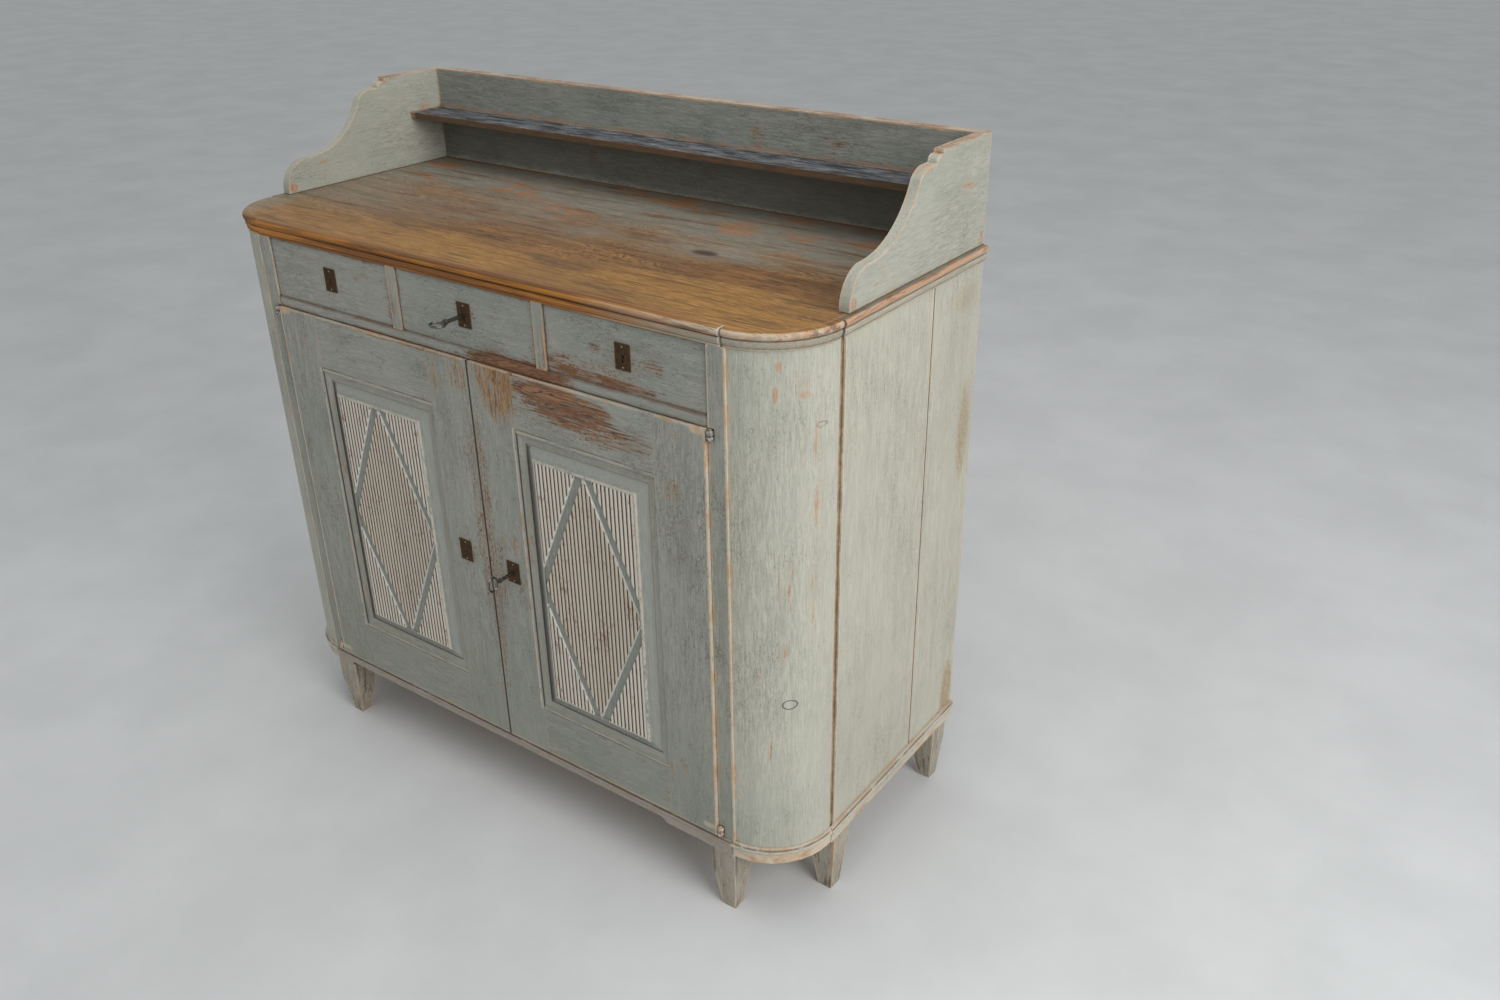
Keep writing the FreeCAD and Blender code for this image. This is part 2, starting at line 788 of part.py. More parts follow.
right_feet = [
    foot("front_foot", stile_outer, as_size(0), 1, front_dowel_x, front_dowel_y),
    foot("side_foot", half_width, sz.side_foot_setback, 1, bearer_dowel_x, side_dowel_y),
    foot("rear_foot", half_width, rear_foot_back, -1, bearer_dowel_x, rear_dowel_y),
]
node("feet", *right_feet, *[mirrored(f) for f in right_feet])

# Counter: two wide boards inside applied mouldings
core_radius = corner_face - sz.strip_width + sz.counter_nose
core_inset = sz.strip_width - sz.counter_nose
core_side = side_face - core_inset
counter_front_board = prism("counter_front_board", "XY", (counter_foot, counter_top), [
    (-column_x, core_inset),
    (column_x, core_inset, core_radius),
    (core_side, column_y),
    (core_side, sz.counter_joint_setback),
    (-core_side, sz.counter_joint_setback),
    (-core_side, column_y, core_radius),
])
counter_back_board = prism(
    "counter_back_board", "XY", (counter_foot, counter_top),
    rectangle((-core_side, core_side), (sz.counter_joint_setback, sz.body_depth)))
gallery_outer = half_width - sz.gallery_inset
gallery_inner = gallery_outer - sz.gallery_thickness
gallery_back_face = sz.body_depth - sz.gallery_back_thickness
gallery_front = sz.gallery_setback - sz.gallery_seat_fit
seat_inner = gallery_inner - sz.gallery_seat_fit
seat_z = (counter_top - sz.gallery_seat_depth, counter_top)
for counter_board, seat_y in (
        (counter_front_board, (gallery_front, sz.counter_joint_setback + over)),
        (counter_back_board, (sz.counter_joint_setback - over, sz.body_depth + over))):
    pocket(counter_board, "XY", seat_z, [rectangle((seat_inner, core_side + over), seat_y)])
    pocket(counter_board, "XY", seat_z, [rectangle((-core_side - over, -seat_inner), seat_y)])
counter_front = front_strip("counter_front", counter_section(-core_inset))
node("counter_front_moulding", counter_front)
counter_corner = corner_strip("counter_corner", counter_section(sz.corner_strip_setback - core_inset))
node("counter_corner_mouldings", counter_corner, mirrored(counter_corner))
counter_side = side_strip("counter_side", counter_section(-core_inset))
node("counter_side_mouldings", counter_side, mirrored(counter_side))

# Gallery: scrolled sides that stand in a rebate of the counter, a back board, and a shelf
# whose ends are housed in the sides
def gallery_side(name):
    body = new_body(name)
    lobe_top = counter_top + sz.gallery_lobe_base + sz.gallery_lobe
    cove_start = sz.gallery_setback + sz.gallery_lobe
    cove_end = cove_start + sz.gallery_cove_length
    cove_top = lobe_top + sz.gallery_cove_height
    cove = bulge_from_level(sz.gallery_cove_length, sz.gallery_cove_height)
    ovolo_end = cove_end + sz.gallery_ovolo_length
    ovolo_top = cove_top + sz.gallery_ovolo_height
    ovolo = bulge_from_level(sz.gallery_ovolo_length, sz.gallery_ovolo_height)
    ear = ovolo_end + sz.gallery_flat
    ear_end = ear + sz.gallery_ear + sz.gallery_ear_flat
    pad(body, "YZ", (gallery_inner, gallery_outer), [[
        (sz.body_depth, counter_top),
        (sz.body_depth, counter_top + sz.gallery_height),
        (ear_end, counter_top + sz.gallery_height),
        (ear_end, ovolo_top + sz.gallery_ear),
        (ear + sz.gallery_ear, ovolo_top + sz.gallery_ear, sz.gallery_ear),
        (ear, ovolo_top),
        (ovolo_end, ovolo_top, ovolo),
        (cove_end, cove_top, -cove),
        (cove_start, lobe_top, sz.gallery_lobe),
        (sz.gallery_setback, lobe_top - sz.gallery_lobe),
        (sz.gallery_setback, counter_top),
    ]])
    pad(body, "XY", (counter_top - sz.gallery_seat_depth + sz.gallery_seat_fit, counter_top), [
        rectangle((gallery_inner, core_side - sz.gallery_seat_fit), (sz.gallery_setback, sz.body_depth))])
    housing = rectangle((gallery_shelf_front, gallery_back_face),
                        widened((gallery_shelf_foot, shelf_tongue_top), sz.housing_fit / 2))
    pocket(body, "YZ", (gallery_inner, gallery_inner + sz.gallery_housing), [housing])
    return body


def bulge_from_level(length, height):
    """Radius of an arc that starts level and ends a length along and a height away."""
    return (length * length + height * height) / (2 * height)


gallery_shelf_top = counter_top + sz.gallery_shelf_height
gallery_shelf_foot = gallery_shelf_top - sz.gallery_shelf_thickness
gallery_shelf_front = gallery_back_face - sz.gallery_shelf_depth
shelf_tongue_top = gallery_shelf_top - sz.gallery_shelf_shoulder
right_gallery = gallery_side("right_gallery")
node("right_gallery_side", right_gallery)
node("left_gallery_side", mirrored(right_gallery))
node("gallery_back_board", board(
    "gallery_back", (-gallery_inner, gallery_inner), (gallery_back_face, sz.body_depth),
    (counter_top, counter_top + sz.gallery_height)))
shelf_half = gallery_inner + sz.gallery_housing
gallery_shelf_y = (gallery_shelf_front, gallery_back_face)
gallery_shelf = prism("gallery_shelf_board", "XY", (gallery_shelf_foot, gallery_shelf_top),
                      rectangle((-gallery_inner, gallery_inner), gallery_shelf_y))
pad(gallery_shelf, "XY", (gallery_shelf_foot, shelf_tongue_top),
    [rectangle((-shelf_half, shelf_half), gallery_shelf_y)])
node("gallery_shelf", gallery_shelf)

pintles = [pintle("pintle_%d" % (i + 1), low) for i, low in enumerate(hinge_lows)]
node("hinge_pintles", *pintles, *[mirrored(p) for p in pintles])


# Locks: along runs from the key towards the bolt's edge, across is square to it
class Lock:
    """Where a lock lies: its key, the face and back of its board, and its bolt's edge."""

    def __init__(self, key_x, key_z, face, back, edge, upward):
        self.key_x = key_x
        self.key_z = key_z
        self.face = face
        self.back = back
        self.edge = edge
        self.upward = upward
        self.case_face = back - sz.lock_case_depth
        self.bolt_y = (self.case_face + sz.bolt_setback,
                       self.case_face + sz.bolt_setback + sz.bolt_thickness)

    def outline(self, corners):
        """Corners given along and across, as X and Z."""
        if self.upward:
            return [(self.key_x + across, self.key_z + along) for along, across in corners]
        return [(self.key_x - along, self.key_z + across) for along, across in corners]

    def block(self, along, across):
        return self.outline(rectangle(along, across))


def lock_recess(body, lock):
    """The pocket in the back of a board for the case, and the keyhole through its face."""
    half = sz.lock_case_width / 2
    shape = lock.block((-sz.lock_case_tail - sz.lock_fit, lock.edge + over),
                       widened((-half, half), sz.lock_fit))
    pocket(body, "XZ", (lock.case_face, lock.back), [shape])
    pocket(body, "XZ", (lock.face, lock.case_face), circles=[(lock.key_x, lock.key_z, sz.keyhole_radius)])


def lock_pieces(name, lock):
    """Escutcheon plate on the face and hollow iron case in the back of the board."""
    plate = new_body(name + "_plate")
    plate_span = (lock.face - sz.lock_plate_thickness, lock.face)
    half_plate = (sz.lock_plate_width / 2, sz.lock_plate_height / 2)
    pad(plate, "XZ", plate_span, [rectangle(
        (lock.key_x - half_plate[0], lock.key_x + half_plate[0]),
        (lock.key_z - half_plate[1], lock.key_z + half_plate[1]))])
    pocket(plate, "XZ", plate_span, circles=[(lock.key_x, lock.key_z, sz.keyhole_radius)])
    case = new_body(name + "_case")
    half = sz.lock_case_width / 2
    wall = sz.lock_case_wall
    pad(case, "XZ", (lock.case_face, lock.back), [lock.block((-sz.lock_case_tail, lock.edge), (-half, half))])
    hollow = lock.block((wall - sz.lock_case_tail, lock.edge - wall), (wall - half, half - wall))
    pocket(case, "XZ", (lock.case_face, lock.back - wall), [hollow])
    bolt_half = sz.bolt_width / 2 + sz.bolt_fit
    mouth = lock.block((lock.edge - wall - over, lock.edge + over), (-bolt_half, bolt_half))
    pocket(case, "XZ", widened(lock.bolt_y, sz.bolt_fit), [mouth])
    return plate, case


def lock_bolt(name, lock):
    """A forked bolt: its two legs pass the key, whose bit lifts the bridge between them."""
    half = sz.bolt_width / 2
    clear = sz.key_bit_reach + sz.key_bit_gap
    bridge = sz.key_bit_reach / 4 + sz.key_bit_thickness / 2 + sz.key_bit_gap
    top = lock.edge - sz.bolt_fit
    shape = lock.outline([
        (-sz.bolt_tail, -half), (top, -half), (top, half), (-sz.bolt_tail, half),
        (-sz.bolt_tail, clear), (bridge, clear), (bridge, -clear), (-sz.bolt_tail, -clear),
    ])
    return prism(name, "XZ", lock.bolt_y, shape)


def bolt_mortise(body, lock):
    """The hole that the thrown bolt enters in the board above."""
    half = sz.bolt_width / 2
    shape = lock.block((lock.edge, lock.edge + sz.bolt_throw + sz.bolt_fit),
                       widened((-half, half), sz.bolt_fit))
    pocket(body, "XZ", widened(lock.bolt_y, sz.bolt_fit), [shape])


def octagon(across, up, radius):
    """An eight-sided outline with its flats at a radius from its middle."""
    half = radius * math.tan(math.pi / 8)
    return [
        (across + half, up + radius), (across + radius, up + half),
        (across + radius, up - half), (across + half, up - radius),
        (across - half, up - radius), (across - radius, up - half),
        (across - radius, up + half), (across - half, up + radius),
    ]


def bow_path():
    """The bow's middle line, across and out from its middle, as two half rounds of quarter arcs."""
    turn = sz.key_bow_depth / 2 - sz.key_bow_wire
    end = sz.key_bow_width / 2 - sz.key_bow_wire
    straight = end - turn
    return [
        (straight, -turn, turn),
        (end, as_size(0), turn),
        (straight, turn),
        (-straight, turn, turn),
        (-end, as_size(0), turn),
        (-straight, -turn),
    ]


def key(name, lock, reach):
    """Shaft with a collar, a bit inside the case and an oval bow."""
    body = new_body(name)
    deep_end = lock.back - sz.lock_case_wall - sz.key_end_gap
    bow_root = sz.key_bow_depth - reach
    shaft = (lock.key_x, lock.key_z, sz.key_shaft_radius)
    pad(body, "XZ", (bow_root - sz.key_bow_wire, deep_end), circles=[shaft])
    collar = (lock.key_x, lock.key_z, sz.key_collar_radius)
    collar_y = bow_root + sz.key_collar_setback
    pad(body, "XZ", (collar_y, collar_y + sz.key_collar_length), circles=[collar])
    half_bit = sz.key_bit_thickness / 2
    if lock.upward:
        bit = rectangle((lock.key_x - sz.key_bit_reach, lock.key_x),
                        (lock.key_z - half_bit, lock.key_z + half_bit))
    else:
        bit = rectangle((lock.key_x - half_bit, lock.key_x + half_bit),
                        (lock.key_z - sz.key_bit_reach, lock.key_z))
    pad(body, "XZ", (deep_end - sz.key_bit_length, deep_end), [bit])
    # The bow is a filed bar, eight-sided in section, round an oval path
    middle = bow_root - sz.key_bow_depth / 2
    near = middle - sz.key_bow_depth / 2 + sz.key_bow_wire
    bow = body.newObject("PartDesign::AdditivePipe", name + "_bow")
    if lock.upward:
        path = [(lock.key_x + across, middle + out, *turn) for across, out, *turn in bow_path()]
        spine = sketch_on(body, "XY", lock.key_z, [path])
        section = sketch_on(body, "YZ", lock.key_x, [octagon(near, lock.key_z, sz.key_bow_wire)])
    else:
        path = [(middle - out, lock.key_z + across, *turn) for across, out, *turn in bow_path()]
        spine = sketch_on(body, "YZ", lock.key_x, [path])
        section = sketch_on(body, "XY", lock.key_z, [octagon(lock.key_x, near, sz.key_bow_wire)])
    bow.Spine = (spine, ["Edge%d" % (n + 1) for n in range(len(path))])
    bow.Profile = section
    return body


# Drawers
drawer_foot = deck_top + sz.drawer_seat_gap
drawer_top = counter_foot - sz.drawer_head_gap
drawer_face = sz.drawer_recess
drawer_front_back = drawer_face + sz.drawer_front_thickness
drawer_pitch = opening_width + sz.divider_width
drawer_locks = []


def make_drawer(name, middle):
    half = opening_width / 2 - sz.drawer_gap
    edges = (middle - half, middle + half)
    wall = sz.drawer_side_thickness
    fit = sz.drawer_joint_fit
    lap_y = drawer_front_back - sz.drawer_lap
    side_top = drawer_foot + sz.drawer_side_height
    end_y = drawer_face + sz.drawer_length
    bottom_z = (drawer_foot + sz.drawer_bottom_rise,
                drawer_foot + sz.drawer_bottom_rise + sz.drawer_bottom_thickness)
    groove_z = widened(bottom_z, fit)
    groove = sz.drawer_bottom_groove
    lock = Lock(middle, deck_top + sz.drawer_key_level, drawer_face, drawer_front_back,
                drawer_top - deck_top - sz.drawer_key_level, True)
    drawer_locks.append(lock)

    front = prism(name + "_front_board", "XZ", (drawer_face, drawer_front_back),
                  rectangle(edges, (drawer_foot, drawer_top)))
    for low, high in ((edges[0] - over, edges[0] + wall + fit), (edges[1] - wall - fit, edges[1] + over)):
        pocket(front, "XZ", (lap_y - fit, drawer_front_back),
               [rectangle((low, high), (drawer_foot - over, side_top + fit))])
    pocket(front, "XZ", (drawer_front_back - groove - fit, drawer_front_back),
           [rectangle((edges[0], edges[1]), groove_z)])
    lock_recess(front, lock)
    node(name + "_front", front)

    sides = []
    for word, low, high, face in (("left", edges[0], edges[0] + wall, -1), ("right", edges[1] - wall, edges[1], 1)):
        side = prism("%s_%s_side" % (name, word), "YZ", (low, high),
                     rectangle((lap_y, end_y), (drawer_foot, side_top)))
        cut = (high - groove - fit, high) if face < 0 else (low, low + groove + fit)
        pocket(side, "YZ", cut, [rectangle((lap_y - over, end_y + over), groove_z)])
        sides.append(side)
    back = board(name + "_back", (edges[0] + wall, edges[1] - wall), (end_y - wall, end_y),
                 (bottom_z[1] + fit, side_top - sz.drawer_back_drop))
    node(name + "_box", *sides, back)
    bottom = board(name + "_bottom_board", (edges[0] + wall - groove, edges[1] - wall + groove),
                   (drawer_front_back - groove, end_y), bottom_z)
    node(name + "_bottom", bottom)
    node(name + "_lock", *lock_pieces(name + "_lock", lock))
    node(name + "_bolt", lock_bolt(name + "_lock_bolt", lock))


for drawer_name, step in (("left_drawer", -1), ("centre_drawer", 0), ("right_drawer", 1)):
    make_drawer(drawer_name, drawer_pitch * step)
for lock in drawer_locks:
    bolt_mortise(counter_front_board, lock)
node("counter_boards", counter_front_board, counter_back_board)
node("drawer_key", key("drawer_key_body", drawer_locks[1], sz.drawer_key_reach))

# Doors: the right one is drawn, and the left one mirrors its frame, panel and eyes
door_inner = sz.door_meeting_gap / 2
door_outer = stile_inner - sz.door_gap
door_foot = floor_top + sz.door_foot_gap
door_top = rail_foot - sz.door_head_gap
door_y = (-sz.door_proud, door_back)
flat_x = (door_inner + sz.door_stile_width, door_outer - sz.door_stile_width)
flat_z = (door_foot + sz.door_rail_width, door_top - sz.door_rail_width)
lip_x = (flat_x[0] + sz.door_moulding_width, flat_x[1] - sz.door_moulding_width)
lip_z = (flat_z[0] + sz.door_moulding_width, flat_z[1] - sz.door_moulding_width)
tongue_y = (sz.panel_tongue_setback - sz.door_proud,
            sz.panel_tongue_setback - sz.door_proud + sz.panel_tongue)
groove_y = widened(tongue_y, sz.panel_fit)
door_tenon_y = (sz.panel_tongue_setback - sz.door_proud,
                sz.panel_tongue_setback - sz.door_proud + sz.tenon_thickness)
door_tenon_inset = (sz.door_rail_width - sz.door_tenon_height) / 2
door_lock = Lock(door_inner + sz.door_key_inset, floor_top + sz.door_key_level, -sz.door_proud,
                 door_back, sz.door_key_inset, False)


def ovolo(flat, lip):
    """What is cut away in front of the quarter-round moulding, between its two lines."""
    face = -sz.door_proud
    start = face + sz.door_moulding_quirk
    end = face + sz.door_moulding_depth
    width = sz.door_moulding_width
    drop = sz.door_moulding_depth - sz.door_moulding_quirk
    radius = (width * width + drop * drop) / (2 * drop)
    turn = radius if flat.value > lip.value else -radius
    return [(flat, start, turn), (lip, end), (lip, face - over), (flat, face - over)]


def door_tenon_z(rail_z):
    return rail_z[0] + door_tenon_inset, rail_z[1] - door_tenon_inset


rail_spans = {"foot": (door_foot, flat_z[0]), "head": (flat_z[1], door_top)}


def door_stile(name, edge, flat, lip, inward):
    """One upright: flat, mitred moulding, panel groove and two mortises."""
    body = prism(name, "XZ", door_y, [
        (edge, door_foot), (edge, door_top), (flat, door_top), (flat, flat_z[1]),
        (lip, lip_z[1]), (lip, lip_z[0]), (flat, flat_z[0]), (flat, door_foot),
    ])
    pocket(body, "XY", (flat_z[0], flat_z[1]), [ovolo(flat, lip)])
    deep = sz.panel_groove_depth
    groove_x = (lip - deep, lip + over) if inward > 0 else (lip - over, lip + deep)
    pocket(body, "YZ", groove_x, [rectangle(groove_y, (lip_z[0] - deep, lip_z[1] + deep))])
    reach = sz.door_tenon_length + sz.tenon_fit
    mortise_x = (flat - reach, flat) if inward > 0 else (flat, flat + reach)
    for rail_z in rail_spans.values():
        hole = rectangle(widened(door_tenon_y, sz.tenon_fit), widened(door_tenon_z(rail_z), sz.tenon_fit))
        pocket(body, "YZ", mortise_x, [hole])
    return body


def door_rail(name, edge, flat, lip, rail_z):
    """One cross rail: mitred moulding, panel groove and a tenon at each end."""
    body = prism(name, "XZ", door_y, [
        (flat_x[0], edge), (flat_x[1], edge), (flat_x[1], flat),
        (lip_x[1], lip), (lip_x[0], lip), (flat_x[0], flat),
    ])
    profile = [(c[1], c[0], -c[2]) if len(c) == 3 else (c[1], c[0]) for c in ovolo(flat, lip)]
    pocket(body, "YZ", flat_x, [profile])
    deep = sz.panel_groove_depth
    groove_z = (lip - deep, lip + over) if lip.value > edge.value else (lip - over, lip + deep)
    pocket(body, "XY", groove_z, [rectangle((lip_x[0] - deep, lip_x[1] + deep), groove_y)])
    tenon_x = (flat_x[0] - sz.door_tenon_length, flat_x[0])
    pad(body, "XZ", door_tenon_y, [rectangle(tenon_x, door_tenon_z(rail_z))])
    tenon_x = (flat_x[1], flat_x[1] + sz.door_tenon_length)
    pad(body, "XZ", door_tenon_y, [rectangle(tenon_x, door_tenon_z(rail_z))])
    return body


def reed_comb(across):
    """The waste in front of a row of half-round reeds, in plan."""
    count = SIZES["reed_count"]
    pitch = (across[1] - across[0]) / sz.reed_count
    radius = bulge(pitch, sz.reed_depth)
    valley = panel_face + sz.reed_depth
    front = panel_face - over
    corners = [(across[1], front), (across[0], front)]
    for i in range(count):
        corners.append((across[0] + pitch * i, valley, radius))
    corners.append((across[1], valley))
    return corners


def reeded_panel(name):
    """Tongue, bevel, quarter-round shoulder and a reeded field with flat lozenge bands."""
    body = new_body(name)
    tongue = sz.panel_groove_depth - sz.panel_play
    pad(body, "XZ", tongue_y, [rectangle(widened(lip_x, tongue), widened(lip_z, tongue))])
    foot_x = widened(lip_x, -sz.panel_lip_gap)
    foot_z = widened(lip_z, -sz.panel_lip_gap)
    bevel = body.newObject("PartDesign::AdditiveLoft", name + "_bevel")
    bevel.Profile = sketch_on(body, "XZ", -tongue_y[0], [rectangle(foot_x, foot_z)])
    base_x = widened(lip_x, -sz.panel_bevel_width)
    base_z = widened(lip_z, -sz.panel_bevel_width)
    shoulder_foot = tongue_y[0] - sz.panel_bevel_rise
    bevel.Sections = [sketch_on(body, "XZ", -shoulder_foot, [rectangle(base_x, base_z)])]
    bevel.Ruled = True
    field = pad(body, "XZ", (panel_face, shoulder_foot), [rectangle(base_x, base_z)])
    doc.recompute()
    rim = [n for n, edge in enumerate(field.Shape.Edges, start=1)
           if all(math.isclose(v.Point.y, panel_face.value) for v in edge.Vertexes)]
    shoulder = body.newObject("PartDesign::Fillet", name + "_shoulder")
    shoulder.Base = (field, ["Edge%d" % n for n in rim])
    bind(shoulder, "Radius", sz.panel_shoulder - sz.panel_shoulder_ease)
    body.Tip = shoulder
    inset = sz.panel_bevel_width + sz.panel_shoulder + sz.reed_margin
    field_x = widened(lip_x, -inset)
    field_z = widened(lip_z, -inset)
    pocket(body, "XY", field_z, [reed_comb(field_x)])
    # The bands lie between an inner lozenge, whose tips all but touch the field's edge,
    # and an outer one that the field's edge cuts short
    middle_x = (field_x[0] + field_x[1]) / 2
    middle_z = (field_z[0] + field_z[1]) / 2
    wide = (field_x[1] - field_x[0]) / 2
    tall = (field_z[1] - field_z[0]) / 2
    rise = sz.band_width * tall / wide
    outer = [(sz.band_width, tall), (wide, rise), (wide, -rise), (sz.band_width, -tall),
             (-sz.band_width, -tall), (-wide, -rise), (-wide, rise), (-sz.band_width, tall)]
    tip = sz.band_tip
    inner = [(wide - tip, as_size(0)), (as_size(0), -(tall - tip)), (tip - wide, as_size(0)),
             (as_size(0), tall - tip)]
    ring = [[(middle_x + x, middle_z + z) for x, z in outline] for outline in (outer, inner)]
    pocket(body, "XZ", (panel_face - over, panel_face + sz.reed_depth), ring)
    return body


panel_face = tongue_y[0] - sz.panel_bevel_rise - sz.panel_shoulder


def door_stiles(name):
    """The meeting stile and the hanging stile of a door on the right."""
    meeting = door_stile(name + "_meeting", door_inner, flat_x[0], lip_x[0], 1)
    hanging = door_stile(name + "_hanging", door_outer, flat_x[1], lip_x[1], -1)
    for low in hinge_lows:
        slot = rectangle((door_outer - sz.tang_length - sz.spike_fit, door_outer),
                         widened((hinge_y, hinge_y + sz.tang_thickness), sz.spike_fit))
        pocket(hanging, "XY", widened(eye_span(low), sz.spike_fit), [slot])
    return meeting, hanging


right_stiles = door_stiles("right_door")
lock_recess(right_stiles[0], door_lock)
node("right_door_stiles", *right_stiles)
left_stiles = door_stiles("left_door")
keeper_x = (door_inner, door_inner + sz.bolt_throw + sz.bolt_fit)
keeper_z = (door_lock.key_z - sz.bolt_width / 2, door_lock.key_z + sz.bolt_width / 2)
pocket(left_stiles[0], "XZ", widened(door_lock.bolt_y, sz.bolt_fit),
       [rectangle(keeper_x, widened(keeper_z, sz.bolt_fit))])
node("left_door_stiles", *[mirrored(b) for b in left_stiles])

door_rails = [
    door_rail("door_foot_rail", door_foot, flat_z[0], lip_z[0], rail_spans["foot"]),
    door_rail("door_head_rail", door_top, flat_z[1], lip_z[1], rail_spans["head"]),
]
node("right_door_rails", *door_rails)
node("left_door_rails", *[mirrored(r) for r in door_rails])
right_panel = reeded_panel("right_panel")
node("right_door_panel", right_panel)
node("left_door_panel", mirrored(right_panel))
eyes = [eye("eye_%d" % (i + 1), low) for i, low in enumerate(hinge_lows)]
node("right_door_hinge_eyes", *eyes)
node("left_door_hinge_eyes", *[mirrored(e) for e in eyes])
node("right_door_lock", *lock_pieces("right_door_lock", door_lock))
node("right_door_bolt", lock_bolt("right_door_lock_bolt", door_lock))
node("door_key", key("door_key_body", door_lock, sz.door_key_reach))

# The left door has a blind plate in front and a slide bolt behind
blind_x = door_inner + sz.door_key_inset
blind_z = floor_top + sz.blind_plate_level
node("left_door_plate", board(
    "blind_plate", (-blind_x - sz.lock_plate_width / 2, -blind_x + sz.lock_plate_width / 2),
    (-sz.door_proud - sz.lock_plate_thickness, -sz.door_proud),
    (blind_z - sz.lock_plate_height / 2, blind_z + sz.lock_plate_height / 2)))

slide_top = rail_foot - sz.slide_fit
slide_foot = slide_top - sz.slide_length
slide = prism("slide", "XZ", slide_y, rectangle(slide_x, (slide_foot, slide_top)))
pad(slide, "XZ", (slide_y[1], slide_y[1] + sz.slide_knob_length),
    circles=[(-sz.slide_inset, (slide_foot + slide_top) / 2, sz.slide_knob_radius)])
node("left_door_slide_bolt", slide)


def staple(name, low):
    """An iron strap over the slide bolt, with a flat leg on the door at each side."""
    fit = sz.slide_fit
    inner = widened(slide_x, fit)
    thick = sz.staple_thickness
    top = slide_y[1] + fit
    return prism(name, "XY", (low, low + sz.staple_height), [
        (inner[0] - thick - sz.staple_leg, door_back),
        (inner[0], door_back),
        (inner[0], top),
        (inner[1], top),
        (inner[1], door_back),
        (inner[1] + thick + sz.staple_leg, door_back),
        (inner[1] + thick + sz.staple_leg, door_back + thick),
        (inner[1] + thick, door_back + thick),
        (inner[1] + thick, top + thick),
        (inner[0] - thick, top + thick),
        (inner[0] - thick, door_back + thick),
        (inner[0] - thick - sz.staple_leg, door_back + thick),
    ])


staple_lows = (slide_foot + sz.staple_inset, slide_top - sz.staple_inset - sz.staple_height)
node("left_door_bolt_staples", *[staple("staple_%d" % (i + 1), low) for i, low in enumerate(staple_lows)])

# Check every feature and piece, then write one file per sub-part
doc.recompute()
faults = []
for thing in doc.Objects:
    if "Invalid" in thing.State or "Error" in thing.State:
        faults.append("%s is %s" % (thing.Name, thing.State))
    if thing.TypeId == "PartDesign::Pocket" and thing.BaseFeature:
        removed = thing.BaseFeature.Shape.Volume - thing.Shape.Volume
        if removed < 1:
            faults.append("%s cuts nothing" % thing.Name)
for piece in nodes:
    if piece.Shape.isNull() or not piece.Shape.isValid():
        faults.append("%s has no valid shape" % piece.Label)
if faults:
    raise RuntimeError("; ".join(faults))

os.makedirs("parts", exist_ok=True)
for piece in nodes:
    piece.Shape.exportStep("parts/%s.step" % piece.Label)
print("%d sub-parts, %d solids" % (len(nodes), sum(len(piece.Shape.Solids) for piece in nodes)))
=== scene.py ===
# %% [markdown]
# # A painted pine sideboard
#
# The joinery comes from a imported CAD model: boards, doors, drawers, locks and hinges at their real sizes.
# This lesson dresses it: old distemper paint worn to pale edges, a bare honey-brown counter, rusty iron, and
# the small hand-made pieces that a CAD model leaves out. Everything is in metres. X runs to the right seen
# from the front, Y to the back and Z up.

import bpy
import math
from mathutils import Matrix, Vector


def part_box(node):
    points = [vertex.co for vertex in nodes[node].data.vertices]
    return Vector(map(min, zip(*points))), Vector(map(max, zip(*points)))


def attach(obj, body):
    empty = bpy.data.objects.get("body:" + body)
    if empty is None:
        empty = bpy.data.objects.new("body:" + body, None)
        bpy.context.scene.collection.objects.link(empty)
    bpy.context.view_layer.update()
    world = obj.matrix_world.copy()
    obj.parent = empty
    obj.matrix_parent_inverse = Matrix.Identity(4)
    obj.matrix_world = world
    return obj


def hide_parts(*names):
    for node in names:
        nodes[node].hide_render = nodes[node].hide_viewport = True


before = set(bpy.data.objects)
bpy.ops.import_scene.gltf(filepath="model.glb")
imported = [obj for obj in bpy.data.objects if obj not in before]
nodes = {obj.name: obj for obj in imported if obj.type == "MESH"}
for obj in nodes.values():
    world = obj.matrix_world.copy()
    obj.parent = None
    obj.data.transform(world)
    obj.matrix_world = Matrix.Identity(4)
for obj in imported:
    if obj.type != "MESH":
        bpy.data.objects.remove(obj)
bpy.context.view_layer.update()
print("pieces in the frame:", len(nodes))

# %% [markdown]
# ## Where the picture is taken from
#
# The piece is seen from its right, at eye level, looking down on it. The camera's place was worked out from
# the edges of the counter and the doors, so its turn is given as heading, pitch and a slight roll, and its
# lens by the focal length on a full-frame sensor. Composing three plain turns keeps each number readable,
# where one matrix would hide them.

# %% Camera
eye = Vector((1.3893, -1.4323, 1.5359))
heading, pitch, roll = 35.811, -27.40, -0.705
lens_mm, sensor_mm = 30.19, 36.0


def look_from(place, heading, pitch, roll):
    """A camera matrix: heading to the left of +Y, pitch upwards and roll, in degrees."""
    turn = Matrix.Rotation(math.radians(heading), 4, "Z")
    tilt = Matrix.Rotation(math.radians(90 + pitch), 4, "X")
    bank = Matrix.Rotation(math.radians(roll), 4, "Z")
    return Matrix.Translation(place) @ turn @ tilt @ bank


camera_data = bpy.data.cameras.new("eye_level")
camera_data.lens = lens_mm
camera_data.sensor_width = sensor_mm
camera = bpy.data.objects.new("eye_level", camera_data)
camera.matrix_world = look_from(eye, heading, pitch, roll)
bpy.context.scene.collection.objects.link(camera)
bpy.context.scene.camera = camera
print("camera looks along", [round(v, 3) for v in camera.matrix_world.to_3x3() @ Vector((0, 0, -1))])

